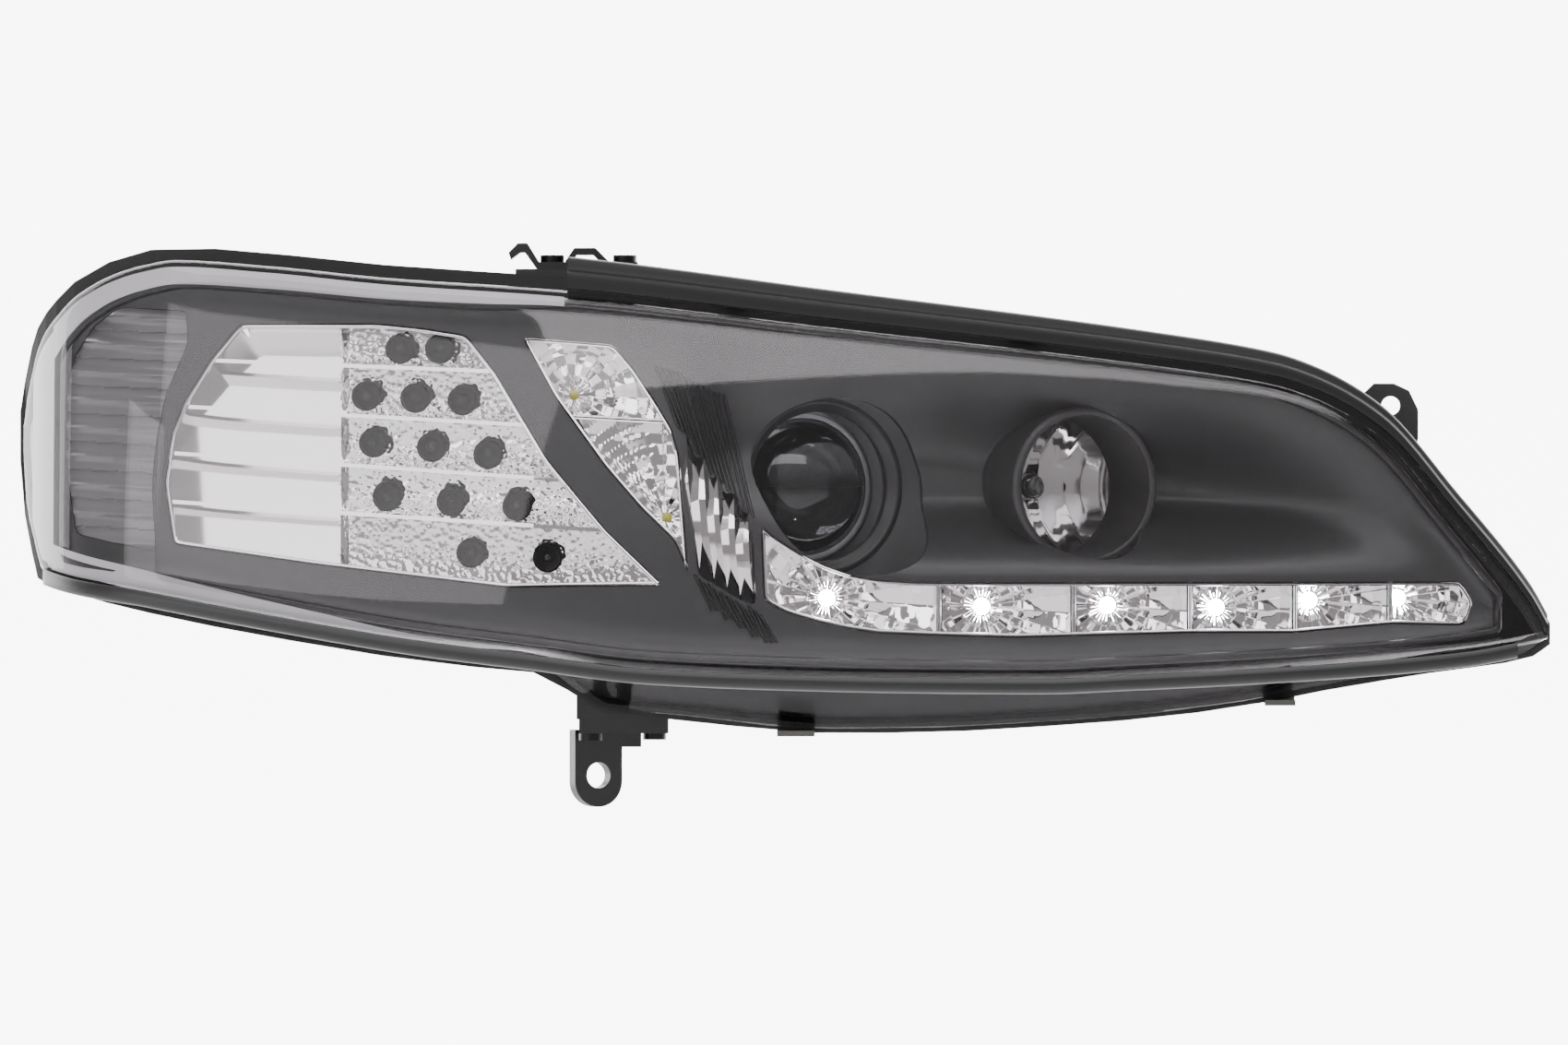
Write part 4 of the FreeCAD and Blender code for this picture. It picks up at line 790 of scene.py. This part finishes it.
def smooth_step(value):
    """0 to 1 with flat ends."""
    t = np.clip(value, 0, 1)
    return t * t * (3 - 2 * t)


def bezel_depth(x, z, top, low):
    """Depth of the bezel's front behind the lens's outside."""
    share = share_at(x)
    edge = np.minimum(top - z, z - low)
    rolled = BEZEL_EDGE + (BEZEL_FLAT - BEZEL_EDGE) * (1 - np.exp(-np.maximum(edge, 0) / EDGE_ROLL))
    over_ledge = z - z_at(ledge_line(share))
    pocket = smooth_step((top - z) / WELL_SLOPE) * smooth_step(over_ledge / LEDGE_SLOPE)
    return rolled + np.maximum(well_depth(share) * MM - BEZEL_FLAT, 0) * pocket


bezel_shares = spread(2, 97.6, 250)[:, None]
bezel_step = np.linspace(0, 1, 110)[None, :]
middle_x = x_at(50)
bezel_x = middle_x + (x_at(bezel_shares) - middle_x) * (1 - 2 * BEZEL_MARGIN / LENS_LENGTH)
top_margin = curve([(0, 11), (30, 9.5), (37, 6), (100, 6)])
bezel_top = z_at(top_edge(bezel_shares)) - top_margin(bezel_shares) * MM
bezel_low = z_at(knuckle_line(bezel_shares)) + BEZEL_MARGIN
bezel_z = bezel_top + (bezel_low - bezel_top) * bezel_step
bezel_x = bezel_x + 0 * bezel_z
bezel_front = np.stack([bezel_x, front_y(bezel_x, bezel_z)
                        + bezel_depth(bezel_x, bezel_z, bezel_top, bezel_low), bezel_z], axis=2)
bezel = piece("bezel_mask", shell(bezel_front, bezel_front + np.array([0, BEZEL_WALL, 0])),
              "lamp", bezel_abs, ["bezel"])
windows = [prism_tool(outline_loop(points)) for points in
           (TURN_OUTLINE, PANEL_OUTLINE, DRL_UPPER_OUTLINE, COMB_OUTLINE, DRL_LOWER_OUTLINE)]
windows.append(solid_tool([beam_ring(LOW_FRONT, SHROUD_RADIUS - 0.4 * MM, t * MM)
                           for t in (-60, 90)]))
windows.append(solid_tool([beam_ring(HIGH_FRONT, TUNNEL_OPENING + 1 * MM, t * MM)
                           for t in (-60, 90)]))
carve(bezel, windows)

# %% [markdown]
# A rolled bead runs round the bezel's edge. It is what draws the dark line inside the clear
# rim of the lens.

# %% Bead round the bezel
BEAD_RADIUS = 1.9 * MM


def rope(path, radius, count=14):
    """Round bar along a closed path."""
    ahead = np.roll(path, -1, axis=0) - np.roll(path, 1, axis=0)
    ahead /= np.linalg.norm(ahead, axis=1, keepdims=True)
    depth = np.array([0.0, 1.0, 0.0])
    side = np.cross(ahead, depth)
    side /= np.linalg.norm(side, axis=1, keepdims=True)
    normal = np.cross(side, ahead)
    angle = np.linspace(0, 2 * math.pi, count, endpoint=False)[None, :, None]
    circle = np.cos(angle) * side[:, None] + np.sin(angle) * normal[:, None]
    rings = path[:, None] + radius * circle
    return closed_grid(np.concatenate([rings, rings[:1]]))


edge_path = np.concatenate([bezel_front[:, 0], bezel_front[-1, 1:-1:6], bezel_front[::-1, -1],
                            bezel_front[0, -2:0:-6]])
edge_path = calmed(edge_path, 4)
piece("bezel_edge_bead", rope(edge_path, BEAD_RADIUS), "lamp", satin_abs)

# %% [markdown]
# ## Side marker
# The outboard reflector sits under a smoked panel whose rounded ribs run across it every
# 12 mm and fall slightly towards the middle of the lamp.

# %% Ribbed smoked panel
RIB_PITCH = 12 * MM
RIB_FALL = 0.06
RIB_HEIGHT = 2.6 * MM
RIB_WIDTH = 1.5 * MM
RIB_SLOPE = 1.4 * MM
PANEL_FLOOR = 14.5 * MM


def outline_box(points):
    """Lowest and highest X and Z of an outline."""
    loop = outline_loop(points)
    return loop.min(axis=0), loop.max(axis=0)


def panel_depth(x, z):
    """Floor that slopes from rib to rib; each rib is a bell curve that stands forward."""
    phase = ((z + (x - LENS_LEFT) * RIB_FALL) / RIB_PITCH) % 1
    rib = np.exp(-((phase - 0.5) * RIB_PITCH / RIB_WIDTH) ** 2)
    slope = (phase - 0.5) * RIB_SLOPE
    return PANEL_FLOOR - RIB_HEIGHT * rib + slope


low, high = outline_box(PANEL_OUTLINE)
panel = piece("side_marker_lens", field(low - MM, high + MM, 0.7 * MM, panel_depth, 2 * MM),
              "lamp", smoked, ["side_marker_panel"])
carve(panel, [prism_tool(outline_loop(PANEL_OUTLINE, 0.3 * MM))], "INTERSECT")

# %% [markdown]
# ## Turn signal
# A deep chrome tray with four louvre blades across it. Its outboard half is smooth, the inboard
# half is pebbled and steps down in five tiers, and each LED looks out of a round hole.

# %% Turn reflector
TURN_LEDS = [(25, 78.7), (27.6, 78.7), (22.8, 67.4), (26, 66.9), (29.1, 66.3), (23.3, 56.2),
             (27.1, 55.1), (30.8, 53.4), (24.2, 43.3), (28.4, 42.1), (32.7, 41), (29.7, 29.8),
             (34.7, 28.7)]
TURN_BLADES = [((9, 76.2), (36, 72.2)), ((9, 65), (39, 59)), ((9, 53.8), (40, 46)),
               ((9, 42.2), (43, 34))]
TRAY_DEPTH = 26 * MM
TURN_FRONT = 12 * MM
PEBBLE_START = -0.108
TIER_TOP = 88
TIER_FOOT = 18
TIER_RISE = 9 * MM
TIER_BLEND = 4 * MM
FLOOR_GAP = 2 * MM
END_RISE = 9 * MM
END_LENGTH = 22 * MM


def tier_phase(x, z):
    """0 at the top of a tier to 1 at its foot, by the blades above and below."""
    share = share_at(x)
    levels = [z_at(TIER_TOP + 0 * share)]
    for (left, left_z), (right, right_z) in TURN_BLADES:
        levels.append(z_at(left_z + (right_z - left_z) * (share - left) / (right - left)))
    levels.append(z_at(TIER_FOOT + 0 * share))
    phase = np.zeros_like(z)
    for top, foot in zip(levels, levels[1:]):
        inside_tier = (z <= top) & (z > foot)
        phase = np.where(inside_tier, (top - z) / np.maximum(top - foot, 1e-6), phase)
    return phase


def turn_depth(x, z):
    """Tray floor: a shallow curve outboard, sloped tiers inboard."""
    rear = TURN_FRONT + TRAY_DEPTH - FLOOR_GAP
    curve_up = END_RISE * np.exp(-(x - x_at(9.6)) / END_LENGTH)
    inboard = smooth_step((x - PEBBLE_START) / TIER_BLEND)
    return rear - curve_up - inboard * (1 - tier_phase(x, z)) * TIER_RISE


def turn_film():
    """Aluminium film, smooth outboard and pebbled inboard."""
    material, tree, output, place = new_material("Aluminium film, part pebbled")
    shader = add(tree, "ShaderNodeBsdfPrincipled",
                 {"Metallic": 1.0, "Base Color": linear("#f1efef"), "Roughness": 0.08})
    cells = add(tree, "ShaderNodeTexVoronoi", {"Scale": 1 / (2.2 * MM), "feature": "SMOOTH_F1"},
                {"Vector": place})
    along = add(tree, "ShaderNodeSeparateXYZ", None, {"Vector": place}).outputs["X"]
    zone = add(tree, "ShaderNodeMapRange",
               {"From Min": PEBBLE_START - 0.002, "From Max": PEBBLE_START + 0.004},
               {"Value": along}).outputs["Result"]
    relief = add(tree, "ShaderNodeBump", {"Distance": 0.5 * MM},
                 {"Height": cells.outputs["Distance"], "Strength": zone})
    tree.links.new(relief.outputs["Normal"], shader.inputs["Normal"])
    tree.links.new(shader.outputs[0], output.inputs["Surface"])
    return material


part_pebbled = turn_film()
low, high = outline_box(TURN_OUTLINE)
turn_loop = outline_loop(TURN_OUTLINE, 0.4 * MM)
floor = piece("turn_reflector_floor", field(low - MM, high + MM, 0.9 * MM, turn_depth, 1.4 * MM),
              "lamp", part_pebbled, ["turn_reflector"], crease=30)
HOLE_RADIUS = 6.2 * MM
holes = [solid_tool([round_ring(x_at(u), y, z_at(v), HOLE_RADIUS, 40) for y in CUT_ENDS])
         for u, v in TURN_LEDS]
carve(floor, [prism_tool(turn_loop)], "INTERSECT", 30)
carve(floor, holes, crease=30)
piece("turn_reflector_wall", ring_wall(turn_loop, TURN_FRONT, TURN_FRONT + TRAY_DEPTH, 1.6 * MM),
      "lamp", chrome)

# %% LED wells behind the tray
WELL_PROFILE = ((6.3, 26), (6.3, 39.4), (5.4, 39.4), (5.4, 26))
ROUND_STEPS = 32
wells = []
for u, v in TURN_LEDS:
    x = x_at(u)
    z = z_at(v)
    rings = [round_ring(x, front_y(x, z) + depth * MM, z, radius * MM, ROUND_STEPS)
             for radius, depth in WELL_PROFILE]
    wells.append(closed_grid(rings + rings[:1]))
piece("turn_led_wells", wells, "lamp", dark_inside)

# %% [markdown]
# ## Daytime-running strip
# Each chip sits in its own chrome cell. The cell rises from the chip like a star: twelve pleats
# spread the light, so that the cell shows white and black facets.

# %% Faceted cells
DRL_FRONT = 14 * MM
DRL_TRAY = 18 * MM
RING_COUNT = 34
PLEAT = 0.16
PLEAT_REACH = 16 * MM
RISE_REACH = 20 * MM
BAND_PITCH = 9 * MM
BAND_DEPTH = 1 * MM
CELL_GAP = 1.5 * MM


def star_cell(corners, chip, pleats, rise, turn=0.3):
    """Cell floor as a fan: rings from the chip to the cell's outline, pleated by angle."""
    loop = outline_loop(corners, 0.5 * MM, 0.8 * MM, 2)
    centre = np.array([x_at(chip[0]), z_at(chip[1])])
    share = np.linspace(0, 1, RING_COUNT)[None, :] ** 0.9
    arm = loop[:, None] - centre
    spot = centre + arm * (0.02 + 0.98 * share[..., None])
    reach = np.linalg.norm(spot - centre, axis=2)
    angle = np.arctan2(arm[..., 1], arm[..., 0]) + turn
    saw = np.abs((angle * pleats / (2 * math.pi)) % 1 - 0.5) * 2
    band = np.abs((reach / BAND_PITCH) % 1 - 0.5) * 2
    lift = rise * np.minimum(reach / RISE_REACH, 1) + PLEAT * saw * np.minimum(reach, PLEAT_REACH)
    depth = DRL_FRONT + DRL_TRAY - CELL_GAP - lift - BAND_DEPTH * band
    depth = np.maximum(depth, DRL_FRONT + CELL_GAP)
    y = front_y(spot[..., 0], spot[..., 1]) + depth
    front = np.stack([spot[..., 0], y, spot[..., 1]], axis=2)
    front = np.concatenate([front, front[:1]])
    return shell(front, front + np.array([0, 1.2 * MM, 0]))


DRL_UPPER_LEDS = [(36.4, 67.4), (42.3, 38.2)]
DRL_LOWER_LEDS = [(52.9, 19.1), (63, 17.1), (71.2, 17.4), (78.3, 16.9), (84.4, 18.5),
                  (90.2, 19.1)]
DOME_RADIUS = 3.6 * MM
DOME_FOOT = 5 * MM
DRL_DIVIDERS = (60.2, 69, 76.6, 83.5, 89.7)
upper_corners = (DRL_UPPER_OUTLINE[:4] + [(42.3, 61.5), (36.4, 62.5)] + DRL_UPPER_OUTLINE[-1:],
                 [(42.3, 61)] + DRL_UPPER_OUTLINE[5:-1] + [(36.6, 62)])
upper_cells = [star_cell(corners, chip, 12, 7 * MM)
               for corners, chip in zip(upper_corners, DRL_UPPER_LEDS)]
piece("drl_upper_cells", upper_cells, "lamp", chrome,
      ["drl_upper_reflector"], crease=14)
first_cell = DRL_LOWER_OUTLINE[:7] + [(60.1, 23), (60.1, 10.1)] + DRL_LOWER_OUTLINE[-5:]
CELL_TOP = 23
CELL_EDGE = 0.15
lower_cells = [star_cell(first_cell, DRL_LOWER_LEDS[0], 14, 6 * MM)]
low_line = curve([(60.2, 10.1), (65.2, 9.6), (76.6, 10.7), (83.5, 10.7), (89.7, 12.8),
                  (95.2, 12.5)])
edges = list(DRL_DIVIDERS) + [95]
for left, right, chip in zip(edges, edges[1:], DRL_LOWER_LEDS[1:]):
    corners = [(left + CELL_EDGE, CELL_TOP), (right - CELL_EDGE, CELL_TOP),
               (right - CELL_EDGE, float(low_line(right))),
               (left + CELL_EDGE, float(low_line(left)))]
    lower_cells.append(star_cell(corners, chip, 14, 6 * MM))
piece("drl_lower_cells", lower_cells, "lamp", chrome,
      ["drl_lower_reflector"], crease=14)
domes = []
for u, v in DRL_LOWER_LEDS:
    x = x_at(u)
    z = z_at(v)
    foot = front_y(x, z) + DRL_FRONT + DRL_TRAY - DOME_FOOT
    domes.append(tube([round_ring(x, foot - DOME_RADIUS * math.cos(tilt), z,
                                  DOME_RADIUS * math.sin(tilt), ROUND_STEPS)
                       for tilt in np.linspace(0.06, math.pi / 2, 8)]))
piece("drl_lit_domes", domes, "lamp", led_on)
walls = [ring_wall(outline_loop(points, 0.3 * MM), DRL_FRONT, DRL_FRONT + DRL_TRAY, 1.5 * MM)
         for points in (DRL_UPPER_OUTLINE, DRL_LOWER_OUTLINE)]
piece("drl_walls", walls, "lamp", chrome)
BAR_WALL = 0.9 * MM
BAR_HALF = 0.14
UPPER_BAR = [(36.2, 63), (42.3, 61.8), (42.3, 60.6), (36.4, 61.8)]
bar_corners = [[(share - BAR_HALF, CELL_TOP), (share + BAR_HALF, CELL_TOP),
                (share + BAR_HALF, float(low_line(share))),
                (share - BAR_HALF, float(low_line(share)))] for share in DRL_DIVIDERS]
bars = [ring_wall(outline_loop(corners, 0, BAR_WALL, 0), DRL_FRONT + 1 * MM,
                  DRL_FRONT + DRL_TRAY, BAR_WALL) for corners in bar_corners + [UPPER_BAR]]
piece("drl_dividers", bars, "lamp", chrome)

# %% [markdown]
# ## Comb and flutes
# Between the strip's two parts stands a comb of five long chrome blades, each with a ridge.
# Black flutes lead into each blade from the bezel, three to a group.

# %% Comb blades
TOOTH_TOPS = [(43.6, 59.6), (44.84, 53.4), (45.76, 48.9), (46.84, 44.9), (47.77, 40.4)]
TOOTH_FEET = [(44.68, 24.7), (45.61, 22.5), (46.46, 20.6), (47.3, 18.5), (48.2, 17.2)]
TOOTH_HALF = 4.5 * MM
TOOTH_TIP = 0.05 * MM


def tooth(top, foot):
    """Double-ended blade with a sharp ridge along its front."""
    t = np.linspace(0, 1, 24)[:, None]
    x = x_at(top[0] + (foot[0] - top[0]) * t)
    z = z_at(top[1] + (foot[1] - top[1]) * t)
    half = TOOTH_HALF * np.minimum(1, np.minimum(t / 0.35, (1 - t) / 0.4)) + TOOTH_TIP
    across = np.array([[-1.0, -0.15, 1.0, 0.0]])
    depth = np.array([[0.0, -1.25, 0.0, 0.9]])
    y = front_y(x, z) + DRL_FRONT + 3 * MM + depth * half
    return tube(np.stack([x + across * half, y, z + 0 * across], axis=2))


piece("comb_blades", [tooth(top, foot) for top, foot in zip(TOOTH_TOPS, TOOTH_FEET)], "lamp",
      chrome, ["drl_comb"], crease=10)

# %% Flutes
FLUTE_TOPS = [(42.07, 74.2), (43.0, 73.3), (43.9, 71.3), (44.84, 69.7), (45.9, 68)]
FLUTE_WIDTH = 0.75 * MM
FLUTE_PITCH = 0.34


def flute(start, end):
    """Slim rounded rib on the bezel from one share point to another."""
    t = np.linspace(0, 1, 30)[:, None]
    x = x_at(start[0] + (end[0] - start[0]) * t)
    z = z_at(start[1] + (end[1] - start[1]) * t)
    share = share_at(x)
    depth = bezel_depth(x, z, z_at(top_edge(share)) - BEZEL_MARGIN,
                        z_at(knuckle_line(share)) + BEZEL_MARGIN)
    angle = np.linspace(0, 2 * math.pi, 10, endpoint=False)[None, :]
    across = FLUTE_WIDTH * np.cos(angle)
    y = front_y(x, z) + depth - 1.4 * FLUTE_WIDTH * np.sin(angle)
    return tube(np.stack([x + across, y, z + 0 * across], axis=2))


flutes = []
for top, tooth_top, foot in zip(FLUTE_TOPS, TOOTH_TOPS, TOOTH_FEET):
    for shift in (-FLUTE_PITCH, 0.0, FLUTE_PITCH):
        flutes.append(flute((top[0] + shift, top[1] - shift), (tooth_top[0] + shift,
                                                               tooth_top[1] - 1 - 3 * shift)))
        flutes.append(flute((foot[0] + shift, foot[1] - 1 - 3 * shift),
                            (foot[0] + 1.1 + shift, foot[1] - 8.5)))
piece("bezel_flutes", flutes, "lamp", satin_abs)

# %% [markdown]
# ## Beam units
# The low beam looks out through a thick ground lens in a black collar. The high beam is a
# paraboloid whose film is pressed in upright strips. Everything here is turned about a beam
# line, which points forward and inboard.

# %% Turned parts
def turned(point, profile, count=96):
    """Surface of revolution about a beam line from (radius, distance) in millimetres."""
    rings = [beam_ring(point, radius * MM, distance * MM, count) for radius, distance in profile]
    return closed_grid(rings + rings[:1])


def fillet(points, passes=3, step=0.5):
    """Profile in equal steps with softened corners, closed."""
    return even_loop(np.array(points, float), lambda total: np.arange(0, total, step), passes)


collar = [(31.5, 7), (35.5, 3), (38, 3.6), (38.2, 18), (36, 18), (33.4, 14)]
piece("projector_collar", turned(LOW_FRONT, fillet(collar)), "lamp", bezel_abs,
      ["projector_shroud"])
tunnel = [(30, -10), (32.4, -10.6), (34, -9), (34.2, 14), (32.6, 30), (30, 30)]
piece("high_beam_tunnel", turned(HIGH_FRONT, fillet(tunnel)), "lamp", bezel_abs,
      ["high_beam_shroud"])

# %% Projector lens and its ring
GLASS_START = 8
GLASS_SPHERE = 36
GLASS_RADIUS = 28.9
GLASS_BACK = GLASS_START + 18
POLE = 0.02
dome = []
for radius in np.linspace(POLE, GLASS_RADIUS, 40):
    dome.append((radius, GLASS_START + GLASS_SPHERE - math.sqrt(GLASS_SPHERE ** 2 - radius ** 2)))
dome += [(GLASS_RADIUS, GLASS_BACK), (GLASS_RADIUS - 0.4, GLASS_BACK)]
dome += [(radius, GLASS_BACK) for radius in np.linspace(GLASS_RADIUS - 1, POLE, 16)]
piece("projector_glass", turned(LOW_FRONT, dome, 128), "optics", optic_glass,
      ["projector_lens"], crease=30)
ring = [(29.1, 22.2), (31.5, 21.8), (33, 23), (33, 34), (25, 34), (25, 26.2), (29.1, 26.2)]
piece("projector_ring", turned(LOW_FRONT, fillet(ring, 2, 0.4), 112), "optics",
      die_cast, ["projector_lens_ring"])

# %% High beam film
DISH_RADIUS = 38
DISH_DEPTH = 42
DISH_FRONT = 40
STRIP = 8.5
STRIP_BULGE = 0.9
FILM_GAP = 0.1
FILM_WALL = 0.5
BULB_HOLE = 11.2
FILM_EDGE = 0.4
FILM_STEPS = 180
focus = DISH_RADIUS ** 2 / (4 * DISH_DEPTH)
radius = np.linspace(BULB_HOLE, DISH_RADIUS - FILM_EDGE, 60)[:, None]
angle = np.linspace(0, 2 * math.pi, FILM_STEPS, endpoint=False)[None, :]
across = radius * np.cos(angle)
bulge = 1 - np.abs(((across / STRIP) % 1) - 0.5) * 2
paraboloid = DISH_FRONT + DISH_DEPTH - radius ** 2 / (4 * focus)
depth = paraboloid - FILM_GAP - STRIP_BULGE * bulge ** 0.5
place = HIGH_FRONT + (across[..., None] * SIDEWARD + (radius * np.sin(angle))[..., None] * UPWARD
                      + depth[..., None] * REARWARD) * MM
rear = place + FILM_WALL * MM * REARWARD
piece("high_beam_film", closed_grid(np.concatenate([place, rear[::-1], place[:1]])), "optics",
      chrome, crease=20)


# %% [markdown]
# ## Finishes for the parts kept from the model
# Plates, boards, brackets and small hardware have the right shape already, so they only get
# their material. Each material slot of the record has one finish.

# %% Finish of every shown CAD part
FINISHES = {
    "housing_plastic": polypropylene, "lens_clear": polycarbonate, "glue": sealant,
    "seal_rubber": rubber, "lip_plastic": satin_abs, "clip_steel": spring_steel,
    "bezel_black": bezel_abs, "smoked_plastic": smoked, "chrome_coat": chrome,
    "led_clear": epoxy, "led_chip": phosphor, "led_lit": led_on, "board_green": solder_mask,
    "optic_glass": optic_glass, "cast_metal": die_cast, "shield_steel": dark_inside,
    "bulb_glass": quartz, "bulb_base": zinc, "spring_wire": zinc, "stud_steel": zinc,
    "nylon_white": nylon, "motor_black": moulded_black, "knob_white": nylon,
    "cover_black": moulded_black, "gasket_rubber": rubber, "bracket_black": satin_abs,
}
OWN_FINISH = {"bracket_screws": black_zinc}
slot_of = {row["node"]: row["material_slot"] for row in frame["record"]["subparts"]}
for node, item in frame["nodes"].items():
    for index in range(len(item.material_slots)):
        item.material_slots[index].material = OWN_FINISH.get(node, FINISHES[slot_of[node]])
print("finished", len(frame["nodes"]), "CAD nodes")

# %% [markdown]
# ## Floor, light and camera
# The lamp hangs over a pale floor in front of a glowing white backdrop, as in a catalogue shot.
# A long card above the camera draws the soft band along the top of the lens, a card on the left
# fills the outboard chrome, and an overhead box lights the seal.

# %% Studio
FLOOR_HEIGHT = -0.4


def sheet_object(name, corners, material):
    """Flat rectangle that isn't part of the lamp."""
    mesh = bpy.data.meshes.new(name)
    mesh.from_pydata(corners, [], [(0, 1, 2, 3)])
    mesh.materials.append(material)
    item = bpy.data.objects.new(name, mesh)
    bpy.context.collection.objects.link(item)


paper = surface("White paper", {"Roughness": 0.9, "Base Color": linear("#efeff0")})
BACKDROP_GLOW = 6.5
LAMP_MIDDLE = Vector((0.08, -0.05, 0.11))
glow = glowing("Lit white backdrop", "#ffffff", BACKDROP_GLOW)
sheet_object("studio_floor", [(-6, -6, FLOOR_HEIGHT), (6, -6, FLOOR_HEIGHT), (6, 2.5, FLOOR_HEIGHT),
                              (-6, 2.5, FLOOR_HEIGHT)], paper)
sheet_object("studio_backdrop", [(-6, 2.5, FLOOR_HEIGHT), (6, 2.5, FLOOR_HEIGHT), (6, 2.5, 4),
                                 (-6, 2.5, 4)], glow)


def soft_light(name, place, size, power):
    """Rectangular area light that faces the lamp."""
    data = bpy.data.lights.new(name, "AREA")
    data.shape = "RECTANGLE"
    data.size, data.size_y = size
    data.energy = power
    item = bpy.data.objects.new(name, data)
    item.location = place
    item.rotation_euler = (LAMP_MIDDLE - item.location).to_track_quat("-Z", "Y").to_euler()
    bpy.context.collection.objects.link(item)


world = bpy.data.worlds.new("Studio")
bpy.context.scene.world = world
world.use_nodes = True
world.node_tree.nodes["Background"].inputs["Color"].default_value = linear("#f7f6f6")
world.node_tree.nodes["Background"].inputs["Strength"].default_value = 0.55
soft_light("overhead_box", (0.1, -0.5, 1.6), (2.2, 0.7), 26)
soft_light("band_card", (0.5, -2.35, 2.0), (2.6, 0.7), 34)
soft_light("left_card", (-1.55, -2.6, 1.25), (1.6, 1.6), 24)
soft_light("left_strip", (-1.9, -1.5, 0.25), (0.5, 1.7), 10)

# %% Camera
AIM = (0.0803, 0.0, 0.1078)
CAMERA_DISTANCE = 9.0
LENS_PLANE = -0.08
FRAME_WIDTH = 0.663
SENSOR = 36.0
camera_data = bpy.data.cameras.new("camera")
camera_data.sensor_width = SENSOR
camera_data.lens = SENSOR * CAMERA_DISTANCE / FRAME_WIDTH
camera_data.clip_start = 0.05
camera = bpy.data.objects.new("camera", camera_data)
camera.location = (AIM[0], LENS_PLANE - CAMERA_DISTANCE, AIM[2])
camera.rotation_euler = (math.pi / 2, 0, 0)
bpy.context.collection.objects.link(camera)
bpy.context.scene.camera = camera
print("camera lens", round(camera_data.lens, 1), "mm")
